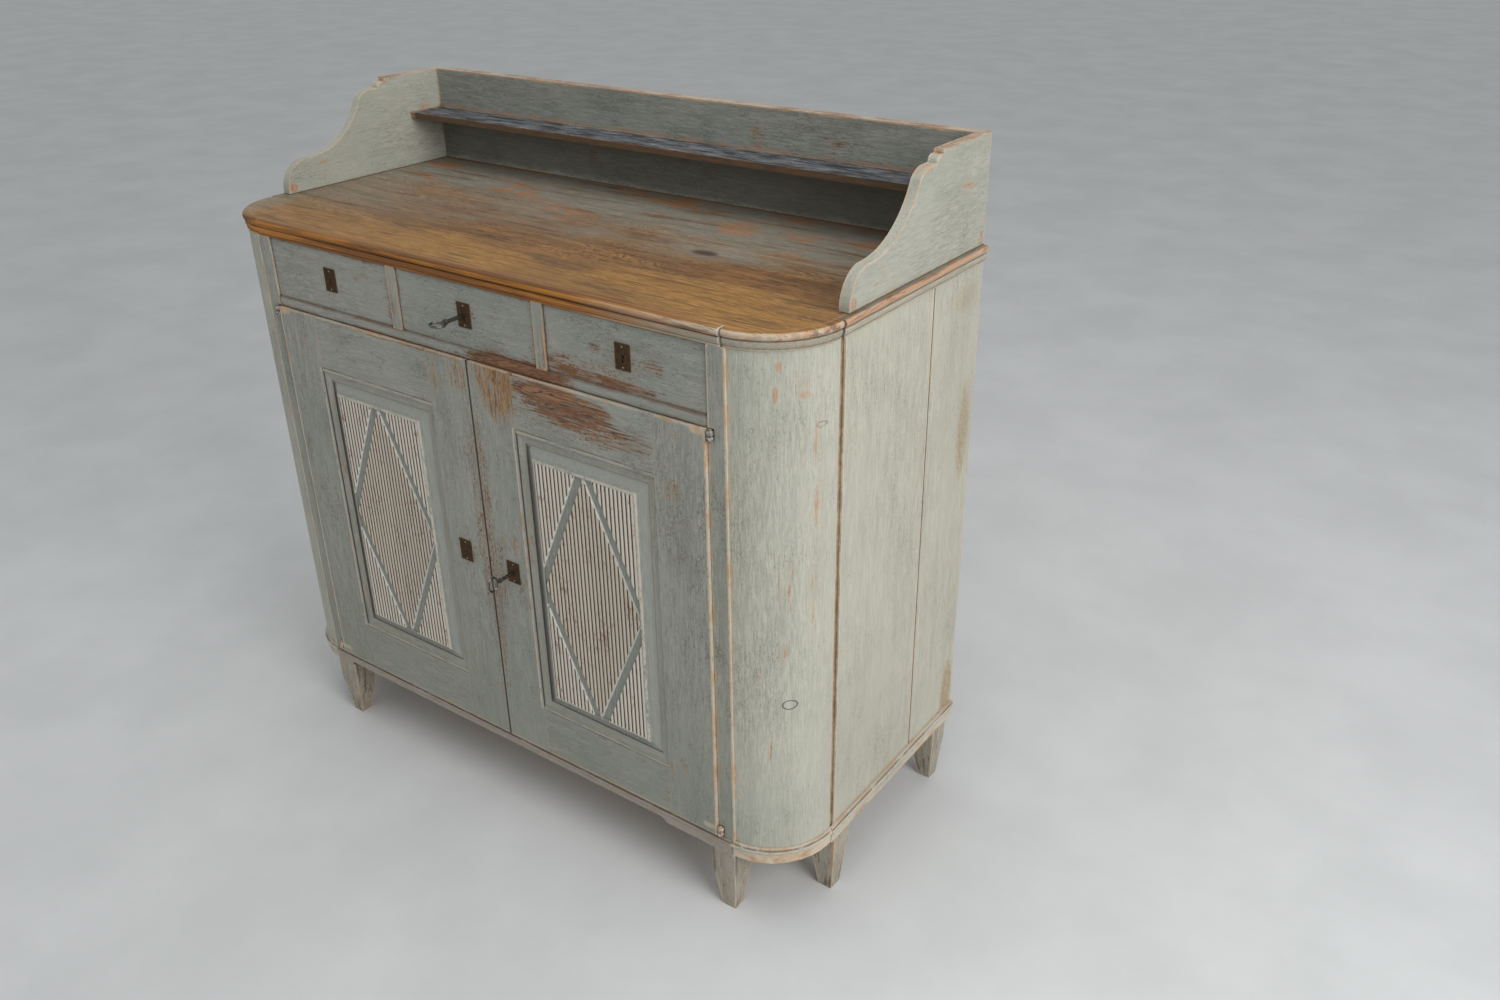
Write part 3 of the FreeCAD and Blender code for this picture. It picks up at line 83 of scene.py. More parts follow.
# %% [markdown]
# ## A small language for paint
#
# A finish is arithmetic on masks: how worn an edge is, how far a stain reaches. Wiring Math nodes by hand
# hides that arithmetic, so one small class wraps a socket and lets Python's own operators add the nodes. The
# Finish class then needs a single method for every other kind of node.


# %% A socket that takes part in Python sums
class Wire:
    """One output socket, on which Python's operators add Math nodes."""

    def __init__(self, finish, socket):
        self.finish = finish
        self.socket = socket

    def _maths(self, operation, first, second):
        return self.finish.node("Math", {"operation": operation}, {0: first, 1: second})

    def __add__(self, other):
        return self._maths("ADD", self, other)

    def __sub__(self, other):
        return self._maths("SUBTRACT", self, other)

    def __rsub__(self, other):
        return self._maths("SUBTRACT", other, self)

    def __mul__(self, other):
        return self._maths("MULTIPLY", self, other)

    def __truediv__(self, other):
        return self._maths("DIVIDE", self, other)

    def __or__(self, other):
        return self._maths("MAXIMUM", self, other)

    def __abs__(self):
        return self._maths("ABSOLUTE", self, 0.0)

    __radd__ = __add__
    __rmul__ = __mul__


# %% A finish, and the one method that adds any node
class Finish:
    """A material built up from nodes, with shorthands for what old paint and wood need."""

    def __init__(self, name):
        self.material = bpy.data.materials.new(name)
        self.material.use_nodes = True
        self.tree = self.material.node_tree
        self.tree.nodes.clear()
        self.place = self.node("TexCoord", out="Object")
        apart = self.node("SeparateXYZ", values={0: self.place})
        self.x, self.y, self.z = (Wire(self, apart.socket.node.outputs[axis]) for axis in "XYZ")

    def node(self, kind, settings=None, values=None, out=0):
        """Adds a node of a type, sets it up, fills its sockets, and gives one of its outputs."""
        made = self.tree.nodes.new("ShaderNode" + kind)
        for name, setting in (settings or {}).items():
            setattr(made, name, setting)
        for key, value in (values or {}).items():
            if isinstance(value, Wire):
                self.tree.links.new(value.socket, made.inputs[key])
            else:
                made.inputs[key].default_value = value
        return Wire(self, made.outputs[out]) if made.outputs else made

    def step(self, value, low, high):
        """0 at low and 1 at high, smooth between them; low may be the larger of the two."""
        return self.node("MapRange", {"interpolation_type": "SMOOTHSTEP"}, {0: value, 1: low, 2: high})

    def line(self, value, middle, outer, inner):
        """1 within inner of a middle, 0 from outer on, and smooth between them."""
        return self.step(abs(value - middle) if middle else abs(value), outer, inner)

    def noise(self, scale, detail=4.0, roughness=0.55, stretch=(1, 1, 1), shift=0.0, warp=0.0):
        """Soft noise, with a scale in grains a metre that may be stretched along the grain."""
        mapped = self.node("Mapping", values={
            "Vector": self.place, "Location": (shift, shift * 1.7, -shift), "Scale": stretch})
        return self.node("TexNoise", values={
            "Vector": mapped, "Scale": scale, "Detail": detail, "Roughness": roughness, "Distortion": warp})

    def mix(self, mask, under, over):
        """The under colour, with the over colour where the mask is 1."""
        under, over = (c if isinstance(c, Wire) else (*c, 1) for c in (under, over))
        return self.node("Mix", {"data_type": "RGBA"}, {0: mask, 6: under, 7: over}, out=2)

    def arris(self, reach):
        """High on outer edges: a ray from just inside the wood soon meets air there."""
        return 1 - self.node("AmbientOcclusion", {"inside": True, "only_local": True, "samples": 6},
                             {"Distance": reach}, out="AO")

    def nook(self, reach):
        """High in corners and gaps, where dirt gathers and nothing rubs; it also marks where shade is
        painted.
        """
        return 1 - self.node("AmbientOcclusion", {"samples": 6}, {"Distance": reach}, out="AO")

    def oval(self, middle, size, axes="xz"):
        """Distance from a middle, squared, which is 1 on an oval of the size given, on two axes."""
        across = (getattr(self, axes[0]) - middle[0]) / size[0]
        along = (getattr(self, axes[1]) - middle[1]) / size[1]
        return across * across + along * along

    def spot(self, middle, size, axes="xz"):
        """1 at a middle, falling to 0 at an oval of the size given."""
        return self.step(self.oval(middle, size, axes), 1.0, 0.1)

    def spots(self, places, axes="xz"):
        """The strongest of several spots, each (middle, size, strength)."""
        mask = self.spot(*places[0][:2], axes) * places[0][2]
        for middle, size, strength in places[1:]:
            mask = mask | self.spot(middle, size, axes) * strength
        return mask

    def done(self, colour, roughness, height=None, depth=0.0006, metallic=0.0, gloss=0.5):
        """Closes the material: a Principled shader with a bump from the height."""
        values = {"Roughness": roughness, "Metallic": metallic, "Specular IOR Level": gloss}
        values["Base Color"] = colour if isinstance(colour, Wire) else (*colour, 1)
        if height is not None:
            values["Normal"] = self.node("Bump", values={"Distance": depth, "Height": height})
        shader = self.node("BsdfPrincipled", values=values)
        self.node("OutputMaterial", values={"Surface": shader})
        return self.material


# %% [markdown]
# ## Floor and light
#
# A plain pale floor and soft light show a finish best. One broad lamp stands to the right, as a window would,
# so the side is brighter than the doors; a second one hangs overhead, and the sky fills the rest. The levels
# are low enough that a colour renders about as it is written.

# %% Floor
FLOOR_WIDTH = 80
FLOOR_GREYS = [(0.60, 0.61, 0.61), (0.66, 0.67, 0.67)]
bpy.ops.object.select_all(action="DESELECT")
bpy.ops.mesh.primitive_plane_add(size=FLOOR_WIDTH, location=(0, 0, 0))
floor = bpy.context.object
floor.name = "studio_floor"

plaster = Finish("pale floor")
clouds = plaster.step(plaster.noise(3.0, 6, 0.6), 0.3, 0.7)
floor.data.materials.append(plaster.done(plaster.mix(clouds, *FLOOR_GREYS), 0.8))
print("floor:", round(floor.dimensions.x), "m wide")


# %% Lamps
def soft_lamp(name, place, aim, size, power):
    """A broad square lamp that faces a point."""
    data = bpy.data.lights.new(name, "AREA")
    data.shape = "SQUARE"
    data.size = size
    data.energy = power
    lamp = bpy.data.objects.new(name, data)
    lamp.location = place
    lamp.rotation_euler = (Vector(aim) - Vector(place)).to_track_quat("-Z", "Y").to_euler()
    bpy.context.scene.collection.objects.link(lamp)
    return lamp


window = soft_lamp("window", (3.4, -0.9, 2.3), (0.2, 0, 0.6), 2.2, 78)
ceiling = soft_lamp("ceiling", (0.3, -0.5, 3.4), (0, 0, 0.8), 2.6, 26)
world = bpy.data.worlds.new("studio")
world.use_nodes = True
sky = world.node_tree.nodes["Background"]
sky.inputs["Color"].default_value = (0.965, 0.985, 1.0, 1)
sky.inputs["Strength"].default_value = 0.5
bpy.context.scene.world = world
bpy.context.scene.view_settings.view_transform = "Standard"
print("lamps:", window.name, ceiling.name)

# %% [markdown]
# ## Old paint
#
# The sideboard carries distemper on a thin orange-pink first coat, on pine. Long years of dusting have rubbed
# the arrises down to a cream ground, flaked small chips and left brown hand marks round the locks. An image
# could be wrapped over the boards, but it would blur close by and know nothing of their edges. So the finish
# is built from masks: the top coat with its brush streaks first, then the places where the first coat or the
# wood shows through, the rubbed arrises, and last dirt with painted shade in corners and gaps. Masks in the
# piece's own coordinates put each mark where the photograph has it.

# %% Colours of the layers
CREAM = (0.62, 0.53, 0.41)
PEACH = (0.56, 0.37, 0.22)
PINK_GROUND = (0.47, 0.29, 0.19)
FIRST_COAT = (0.40, 0.175, 0.085)
PIT = (0.120, 0.085, 0.058)
FLECK = (0.58, 0.545, 0.455)
GRIME_AND_SHADE = (0.045, 0.030, 0.019)
HAND_BROWN = (0.150, 0.068, 0.024)
STAIN = (0.350, 0.180, 0.060)
RED_STAIN = (0.230, 0.105, 0.048)
PALE_STAIN = (0.420, 0.330, 0.245)
PINE = [(0.062, 0.025, 0.011), (0.225, 0.088, 0.034), (0.350, 0.165, 0.068)]
DRY_PINE = [(0.27, 0.165, 0.085), (0.40, 0.265, 0.145), (0.50, 0.355, 0.215)]
DRY_CLOUD = (0.26, 0.17, 0.095)
GOLDEN_PINE = [(0.140, 0.068, 0.028), (0.340, 0.170, 0.058), (0.420, 0.240, 0.100)]


# %% Which way the grain runs
def drawn_out(share):
    """For each axis, the stretch that draws a noise out along it."""
    return {axis: tuple(share if place == axis else 1 for place in "xyz") for axis in "xyz"}


ALONG, HAIR, BLOTCH, FLECKS, FRAYED = (drawn_out(share) for share in (0.09, 0.025, 0.40, 0.16, 0.06))
print("grain along x:", ALONG["x"])


# %% Bare pine, as a colour under the paint
def pine_grain(finish, along, tones=PINE):
    """Bare aged pine: broad rings, drawn-out fibres and a few dark lines."""
    dark, mid, pale = tones
    rings = finish.noise(30, 3, 0.5, ALONG[along], shift=3.1, warp=1.3)
    fibre = finish.noise(420, 4, 0.65, ALONG[along], shift=1.3)
    lines = finish.node("Math", {"operation": "SINE"}, {0: rings * 150.0 + fibre * 4.0})
    colour = finish.mix(finish.step(rings, 0.36, 0.66), mid, pale)
    colour = finish.mix(finish.step(lines, -0.05, 0.80) * 0.92, colour, dark)
    return finish.mix(finish.step(fibre, 0.52, 0.66) * 0.7, colour, dark)


def dry_board(finish, along):
    """Unpainted pine, darkened by age, and in its corners by dust and painted shade."""
    cloud = finish.noise(5, 4, 0.6)
    colour = pine_grain(finish, along, DRY_PINE)
    colour = finish.mix(finish.step(cloud, 0.45, 0.7) * 0.35, colour, DRY_CLOUD)
    # Corners darken towards near black: dust with painted shade.
    return finish.mix(finish.step(finish.nook(0.02), 0.5, 1.0) * 0.6, colour, GRIME_AND_SHADE)


# %% [markdown]
# ### Faces that the brush never reached
#
# A painter stops at the edge of what shows. The backs of the doors and drawer fronts and the inner faces of
# the sides are bare pine. Separate material slots would need the CAD meshes to be changed, so a mask picks
# these faces by their place instead: the last skin of the piece's own box.

# %% Unpainted faces
SKIN = 0.0008


def behind(node):
    """A mask that is 1 on a node's rearmost faces, the ones that only show when it is opened."""
    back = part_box(node)[1].y
    return lambda f: f.step(f.y, back - 2 * SKIN, back - SKIN)


def within_sides(node):
    """A mask that is 1 on the faces of the side boards that look into the cupboard."""
    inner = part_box(node)[0].x
    return lambda f: f.step(abs(f.x), inner + 2 * SKIN, inner + SKIN)


# %% [markdown]
# ### One recipe for every painted piece
#
# All painted pieces share their noises: brush streaks along the grain, clouds, grit, flakes and scratches.
# A class holds them with one short method for each layer, so a piece only says its colours, where it is worn
# and how much. The arris mask needs no place: it finds every outer edge by itself.


# %% The layers of old paint
class OldPaint(Finish):
    """The noises of a painted board, and the layers made from them."""

    def __init__(self, name, along):
        super().__init__(name)
        self.along = along
        self.brush = self.noise(380, 4, 0.70, ALONG[along])
        self.band = self.noise(46, 5, 0.65, ALONG[along], shift=7.0)
        self.cloud = self.noise(6.5, 4, 0.6, shift=2.0)
        self.tint = self.noise(2.4, 3, 0.5, shift=12.0)
        self.grit = self.noise(460, 4, 0.78, BLOTCH[along], shift=4.0)
        self.flake = self.noise(40, 8, 0.75, BLOTCH[along], shift=9.0)
        self.scratch = self.noise(330, 3, 0.7, FLECKS[along], shift=5.0)

    def broken(self, low, high, grain=0.6):
        """A ragged mask that breaks a line up, as flaking does."""
        return self.step(self.flake + (self.grit - 0.5) * grain, low, high)

    def top_coat(self, coat, pale, deep, cool):
        """Brush streaks of pale on the coat, bluer in clouds and darker in bands."""
        cooler = tuple(level * k for level, k in zip(coat, (1 - cool * 0.7, 1.0, 1 + cool)))
        colour = self.mix(self.step(self.brush, 0.38, 0.62), coat, pale)
        colour = self.mix(self.step(self.tint, 0.46, 0.60) * 0.45, colour, cooler)
        colour = self.mix(self.step(self.band, 0.45, 0.64) * 0.40, colour, deep)
        return self.mix(self.step(self.cloud, 0.42, 0.66) * 0.35, colour, pale)

    def flecked(self, colour, fleck, speck):
        """Pale scratches and dark pits."""
        scratches = self.step(self.scratch + (self.flake - 0.5) * 0.6, 0.56, 0.66)
        colour = self.mix(scratches * fleck, colour, FLECK)
        pits = self.step(self.grit + (self.cloud - 0.5) * 0.30 + (self.flake - 0.5) * 0.45, 0.430, 0.350)
        return self.mix(pits * speck, colour, PIT)

    def torn(self):
        """How raggedly paint tears away: fibres, flakes and grit."""
        fray = self.noise(360, 7, 0.70, FRAYED[self.along], shift=11.0)
        return (fray - 0.5) * 3.0 + (self.flake - 0.5) * 1.6 + (self.grit - 0.5) * 1.4

    def rubbed_through(self, colour, places, torn, stain, stained, wood):
        """Stained round each place, and bare in the middle of it."""
        tanned = places + torn * 0.35 + (self.brush - 0.5) * 1.2
        colour = self.mix(self.step(tanned, 0.30, 0.80) * stained, colour, stain)
        return self.mix(self.step(places + torn, 0.54, 0.68) * 0.90, colour, wood)

    def soiled(self, colour, soil, torn, soils):
        """A brown bloom, with darker dots of grease in it."""
        colour = self.mix(self.step(soil + torn * 0.30, 0.30, 1.0) * 0.40, colour, soils[0])
        dotted = soil * 0.90 + torn * 0.45 + (self.grit - 0.5) * 2.8
        return self.mix(self.step(dotted, 0.62, 0.80) * 0.78, colour, soils[1])

    def worn_edge(self, reach, rub):
        """1 on the arrises, in patches."""
        patchy = (self.grit - 0.5) * 0.50 + (self.flake - 0.5) * 0.95 + (self.cloud - 0.5) * 0.75
        return self.step(self.arris(reach) + patchy, rub - 0.04, rub + 0.07)


# %% The paint itself
def aged_paint(name, along, coat, pale, deep, cool=0.10, fleck=0.12, speck=0.6, chip=0.66,
               worn=(), under=None, stain=STAIN, stained=0.55, hands=(), soils=(STAIN, HAND_BROWN), axes="xz",
               rub=0.27, edge=CREAM, quiet=None, dirt_and_shade_strength=0.85, shade=None, unpainted=None):
    """Brushed top coat on a first coat on pine, worn at the arrises, chipped and stained."""
    f = OldPaint(name, along)
    colour = f.flecked(f.top_coat(coat, pale, deep, cool), fleck, speck)
    chips = f.step(f.flake + (f.cloud - 0.5) * 0.30 + (f.grit - 0.5) * 0.6, chip, chip + 0.03)
    colour = f.mix(chips * 0.65, colour, f.mix(f.step(f.brush, 0.4, 0.6), FIRST_COAT, PINK_GROUND))
    torn = f.torn() if worn or hands else None
    if worn:
        wood = under(f) if under else pine_grain(f, along)
        colour = f.rubbed_through(colour, f.spots(worn, axes), torn, stain, stained, wood)
    if hands:
        colour = f.soiled(colour, f.spots(hands, axes), torn, soils)
    rubbed = f.worn_edge(0.0055, rub)
    if quiet:
        rubbed = rubbed * (1 - quiet(f) * 0.85)
    ground = f.mix(f.step(f.flake, 0.46, 0.56), edge, PEACH if edge == CREAM else edge)
    colour = f.mix(rubbed * 0.85, colour, f.mix(f.step(f.grit, 0.56, 0.66) * 0.8, ground, PINK_GROUND))
    # Corners and gaps are darkened towards near black: dirt, with painted shade where light falls less.
    dirt = f.step(f.nook(0.010) + (f.grit - 0.5) * 0.35, 0.42, 0.80)
    colour = f.mix(dirt * dirt_and_shade_strength, colour, GRIME_AND_SHADE)
    if shade:
        colour = shade(f, colour)
    if unpainted:
        colour = f.mix(unpainted(f), colour, dry_board(f, along))
    height = f.brush * 0.40 + f.grit * 0.55 + f.scratch * 0.25 - chips * 0.4 - rubbed * 0.3
    return f.done(colour, f.step(f.brush, 0.2, 0.9) * 0.15 + 0.62, height, 0.0010)


# %% What shows where the paint is gone
def first_coat(f):
    """The orange-pink first coat, streaked, where the top coat was scratched but the wood wasn't."""
    return f.mix(f.step(f.noise(300, 4, 0.7, ALONG["z"], shift=31.0), 0.42, 0.58), FIRST_COAT, PINK_GROUND)


def golden_wood(f):
    """Pine that hands kept clean and honey-coloured beside the lock."""
    return pine_grain(f, "z", GOLDEN_PINE)


# %% [markdown]
# ### Where the front is worn
#
# Hands wear a cupboard at its locks and where the doors meet. The right door's top left corner is rubbed
# down to bare pine, the rail above it too, and the drawers are stained below their locks. Each mark is an
# oval: its middle across and up, its half sizes, and how strong it is.

# %% Marks on the front
RUBBED_BARE = [
    ((0.058, 0.830), (0.062, 0.090), 0.66),
    ((0.070, 0.842), (0.034, 0.040), 0.80),
    ((0.165, 0.838), (0.110, 0.022), 1.05),
    ((0.205, 0.822), (0.120, 0.040), 0.92),
    ((0.290, 0.800), (0.110, 0.034), 0.56),
    ((-0.020, 0.828), (0.040, 0.050), 0.46),
    ((-0.085, 0.812), (0.034, 0.040), 0.42),
    ((0.110, 0.863), (0.150, 0.018), 1.05),
    ((-0.150, 0.8525), (0.260, 0.005), 0.66),
    ((0.260, 0.880), (0.150, 0.012), 0.72),
    ((0.185, 0.890), (0.040, 0.026), 0.52),
    ((0.362, 0.918), (0.030, 0.022), 0.46),
    ((0.256, 0.925), (0.018, 0.014), 0.42),
    ((0.392, 0.745), (0.022, 0.026), 0.46),
    ((0.072, 0.775), (0.018, 0.040), 0.42),
    ((-0.1600, 0.925), (0.004, 0.060), 0.60),
    ((0.1630, 0.925), (0.004, 0.060), 0.60),
]
HAND_MARKS = [
    ((0.008, 0.540), (0.020, 0.420), 0.66),
    ((-0.008, 0.560), (0.020, 0.360), 0.56),
    ((0.020, 0.500), (0.036, 0.110), 0.56),
    ((0.072, 0.470), (0.026, 0.045), 0.46),
    ((-0.050, 0.515), (0.036, 0.060), 0.46),
    ((0.000, 0.930), (0.034, 0.032), 0.50),
    ((0.311, 0.912), (0.060, 0.036), 0.52),
    ((-0.309, 0.915), (0.040, 0.034), 0.40),
    ((-0.165, 0.905), (0.016, 0.060), 0.50),
    ((0.140, 0.900), (0.014, 0.060), 0.50),
    ((0.240, 0.892), (0.110, 0.026), 0.54),
    ((0.180, 0.795), (0.200, 0.040), 0.46),
    ((0.380, 0.700), (0.060, 0.200), 0.28),
    ((0.330, 0.945), (0.120, 0.020), 0.32),
    ((-0.395, 0.800), (0.020, 0.060), 0.40),
]
print("marks:", len(RUBBED_BARE), "rubbed,", len(HAND_MARKS), "stained")

# %% [markdown]
# A door's rails are tenoned into its stiles, and one coat of paint runs over the joint and down into the
# moulding. Little rubs there, so the arris wear is kept off the joints and off the moulding.

# %% Sheltered parts of the doors
STILE_EDGES = (0.0926, 0.3615)
OPENING_X = sum(STILE_EDGES) / 2
OPENING_Z, OPENING_HALF_HEIGHT = 0.5048, 0.2528
MOULDING_REACH = 0.007
MOULDED_BESIDE = (STILE_EDGES[1] - STILE_EDGES[0]) / 2 + MOULDING_REACH
MOULDED_ABOVE = OPENING_HALF_HEIGHT + MOULDING_REACH
print("moulded opening:", round(2 * MOULDED_BESIDE, 4), "by", round(2 * MOULDED_ABOVE, 4))


def door_shelter(f):
    """1 at the joints of rails and stiles, at the moulding round each panel, and where the doors meet."""
    inner, outer = (f.line(abs(f.x), edge, 0.0060, 0.0045) for edge in STILE_EDGES)
    within = f.line(abs(f.x), OPENING_X, MOULDED_BESIDE + 0.001, MOULDED_BESIDE)
    beyond = f.step(abs(f.z - OPENING_Z), MOULDED_ABOVE, MOULDED_ABOVE + 0.001)
    meeting = f.line(f.x, 0, 0.0065, 0.0050)
    return ((inner | outer) * beyond) | (within * (1 - beyond)) | meeting


# %% [markdown]
# ### Lines on the front
#
# On the real doors some lines are always there: cream where a moulding stands proud, near black where the
# doors meet. At the left of each panel opening a painted highlight lies on the moulding and a painted shadow
# in the hollow beside it. The arris mask alone would rub every edge alike, so these lines are placed by their
# distance from the middle of the cupboard, and flakes break them up.

# %% Lines that hands and dirt drew on the front
DOOR_EDGE, STILE_EDGE = 0.4524, 0.4834
LOW_GREEN = (0.236, 0.250, 0.188)
OVOLO_HIGHLIGHT = (0.440, 0.415, 0.360)
HOLLOW_SHADOW = (0.050, 0.034, 0.022)
MOULDING_BROWN = (0.130, 0.080, 0.050)


def pale_line(f, colour, place):
    """A worn cream line at a distance from the middle of the cupboard."""
    line = f.line(abs(f.x), place, 0.0020, 0.0012) * f.step(f.flake, 0.34, 0.44)
    return f.mix(line * 0.85, colour, f.mix(f.step(f.flake, 0.46, 0.58), CREAM, PEACH))


def low_green(f, colour):
    """The paint is greener near the floor, where light has faded it less."""
    return f.mix(f.step(f.z, 0.50, 0.18) * 0.30, colour, LOW_GREEN)


def opening_arris(f, colour):
    """At the left of each door's opening: a worn cream arris, a painted highlight on the ovolo, a painted
    shadow in the hollow.
    """
    high = f.line(f.z, OPENING_Z, MOULDED_ABOVE, MOULDED_ABOVE - 0.001)
    rim, ovolo, hollow = (
        f.line(f.x, STILE_EDGES[0] - inset, outer, inner) | f.line(f.x, -STILE_EDGES[1] - inset, outer, inner)
        for inset, outer, inner in ((0.0064, 0.0018, 0.0010), (0.0038, 0.0032, 0.0026), (0, 0.0014, 0.0008)))
    # Painted highlight on the ovolo and painted shadow in the hollow, on the left of each opening only.
    colour = f.mix(ovolo * high * f.broken(0.38, 0.50) * 0.50, colour, OVOLO_HIGHLIGHT)
    colour = f.mix(hollow * high * 0.85, colour, HOLLOW_SHADOW)
    cream = f.mix(f.step(f.flake, 0.48, 0.6), CREAM, PEACH)
    return f.mix(rim * high * f.broken(0.36, 0.46, 0.5) * 0.85, colour, cream)


def door_lines(f, colour):
    """Near black where the doors meet, and pale edges."""
    colour = opening_arris(f, low_green(f, colour))
    colour = f.mix(f.line(f.x, 0, 0.0028, 0.0014) * 0.85, colour, GRIME_AND_SHADE)
    return pale_line(f, colour, DOOR_EDGE)


def rail_lines(f, colour):
    """Thin worn lines along the moulding above and below each panel."""
    colour = low_green(f, colour)
    within = f.line(abs(f.x), OPENING_X, 0.1405, 0.1395)
    away = abs(f.z - OPENING_Z) - OPENING_HALF_HEIGHT
    brown = f.line(away, 0.0062, 0.0016, 0.0008) * f.broken(0.40, 0.52, 0.5) * within
    colour = f.mix(brown * 0.65, colour, MOULDING_BROWN)
    pale = f.line(away, 0.0034, 0.0020, 0.0008) * f.step(f.flake, 0.40, 0.50) * within
    return f.mix(pale * 0.45, colour, CREAM)


def stile_lines(f, colour):
    """The front stile's outer arris, which every skirt and sleeve brushes."""
    return pale_line(f, low_green(f, colour), STILE_EDGE)


# %% [markdown]
# ### Paint of the front
#
# The doors, drawers and stiles were painted from one pot, so they share their colours and their marks. They
# differ in the way the brush ran, along each board, and in what shows at their edges: brown wood on the
# drawers, cream ground on the doors.

# %% Paint of the front, for upright and for level boards
FRONT = dict(coat=(0.258, 0.264, 0.226), pale=(0.346, 0.350, 0.306), deep=(0.212, 0.222, 0.188),
             worn=RUBBED_BARE, hands=HAND_MARKS, fleck=0.22, cool=0.07)
DRAWER_EDGE = (0.150, 0.072, 0.034)
stile_paint = aged_paint(
    "stile paint", "z", rub=0.24, shade=stile_lines, unpainted=behind("right_front_stile"), **FRONT)
drawer_paint = aged_paint(
    "drawer paint", "x", rub=0.32, edge=DRAWER_EDGE, dirt_and_shade_strength=0.95, stain=RED_STAIN,
    unpainted=behind("right_drawer_front"), **FRONT)
door_upright = aged_paint(
    "door paint, upright grain", "z", rub=0.27, under=golden_wood, quiet=door_shelter, shade=door_lines,
    unpainted=behind("right_door_stiles"), **FRONT)
door_level = aged_paint(
    "door paint, level grain", "x", rub=0.27, stain=RED_STAIN, stained=0.35, quiet=door_shelter,
    shade=rail_lines, unpainted=behind("right_door_rails"), **FRONT)
divider_paint = aged_paint("drawer divider paint", "z", rub=0.37, edge=PEACH, **FRONT)
print("nodes in the door paint:", len(door_upright.node_tree.nodes))

# %% [markdown]
# ### Column, sides and gallery
#
# The column was scratched in a few places, where the orange first coat shows in thin upright strokes, and an
# oval plug stops a knot low down. A plug is set flush, so only its cut line shows: a ring of dirt drawn at an
# oval, which a modelled plug could not show better.

# %% Marks on the column
COLUMN_NICKS = [
    ((0.5482, 0.9528), (0.0045, 0.011), 0.62),
    ((0.5452, 0.9147), (0.0035, 0.017), 0.80),
    ((0.5726, 0.9105), (0.0080, 0.007), 0.66),
    ((0.5600, 0.930), (0.0300, 0.030), 0.30),
    ((0.5815, 0.840), (0.0040, 0.060), 0.50),
    ((0.5820, 0.745), (0.0040, 0.060), 0.58),
    ((0.5800, 0.600), (0.0050, 0.100), 0.40),
    ((0.5560, 0.640), (0.0200, 0.060), 0.30),
    ((0.5520, 0.520), (0.0120, 0.030), 0.36),
    ((0.5400, 0.340), (0.0040, 0.030), 0.50),
    ((0.5250, 0.470), (0.0120, 0.050), 0.34),
]
PLUG_MIDDLE, PLUG_SIZE = (0.5605, 0.425), (0.0074, 0.0078)
PEG_MIDDLES, PEG_SIZE = [(0.5830, 0.864), (0.5180, 0.863)], (0.0026, 0.0038)
COLUMN_SIDE_HIGHLIGHT = (0.540, 0.520, 0.440)


def column_marks(f, colour):
    """A painted highlight on each column's outer side, with the cut lines of the oval plug and of two small
    pegs.
    """
    # Painted highlight: each column is painted paler towards its outer side.
    colour = f.mix(f.step(abs(f.x), 0.556, 0.588) * 0.32, colour, COLUMN_SIDE_HIGHLIGHT)
    ring = f.line(f.oval(PLUG_MIDDLE, PLUG_SIZE), 1.0, 0.36, 0.12) * f.step(f.flake, 0.38, 0.46)
    colour = f.mix(ring * 0.75, colour, GRIME_AND_SHADE)
    for middle in PEG_MIDDLES:
        ring = f.line(f.oval(middle, PEG_SIZE), 1.0, 0.70, 0.30) * f.step(f.grit, 0.42, 0.52)
        colour = f.mix(ring * 0.45, colour, GRIME_AND_SHADE)
    return colour


column_paint = aged_paint(
    "column paint", "z", coat=(0.355, 0.355, 0.290), pale=(0.485, 0.478, 0.402), deep=(0.300, 0.306, 0.254),
    cool=0.05, worn=COLUMN_NICKS, under=first_coat, stain=PALE_STAIN, stained=0.30, rub=0.33, chip=0.72,
    dirt_and_shade_strength=0.95, speck=0.40, fleck=0.35, shade=column_marks)
print("column: nicks", len(COLUMN_NICKS), "pegs", len(PEG_MIDDLES))

# %% [markdown]
# Behind the column runs a groove that holds brown dust, and the two boards of the side meet in a dark joint
# with a pale lip. The groove and the joint are real hollows in the CAD model. The finish only says what
# gathered in them.

# %% Lines on the side
SIDE_MARKS = [
    ((0.262, 0.700), (0.026, 0.130), 0.80),
    ((0.272, 0.190), (0.030, 0.090), 0.90),
    ((0.240, 0.930), (0.060, 0.030), 0.55),
    ((0.010, 0.740), (0.020, 0.012), 0.36),
]
SIDE_SOILS = ((0.400, 0.300, 0.160), (0.330, 0.225, 0.110))
GROOVE_END, SIDE_JOINT = -0.1052, 0.1395
GROOVE_DUST = [(0.250, 0.175, 0.105), (0.440, 0.350, 0.245)]
JOINT_LIP, JOINT_DIRT = (0.620, 0.480, 0.330), (0.085, 0.050, 0.028)


def side_lines(f, colour):
    """Dusty brown in the groove behind the column, and near black in the joint of the two boards."""
    colour = f.mix(f.line(f.y, GROOVE_END + 0.0018, 0.0016, 0.0008) * 0.5, colour, CREAM)
    groove = f.step(f.y + (f.flake - 0.5) * 0.006, GROOVE_END + 0.0012, GROOVE_END)
    colour = f.mix(groove * 0.95, colour, f.mix(f.broken(0.42, 0.60), *GROOVE_DUST))
    lip = f.line(f.y, SIDE_JOINT - 0.0034, 0.0020, 0.0008) * f.step(f.flake, 0.40, 0.52)
    colour = f.mix(lip * 0.8, colour, JOINT_LIP)
    joint = f.line(f.y, SIDE_JOINT, 0.0022, 0.0012) * f.step(abs(f.x), 0.5680, 0.5690)
    return f.mix(joint * 0.9, colour, JOINT_DIRT)


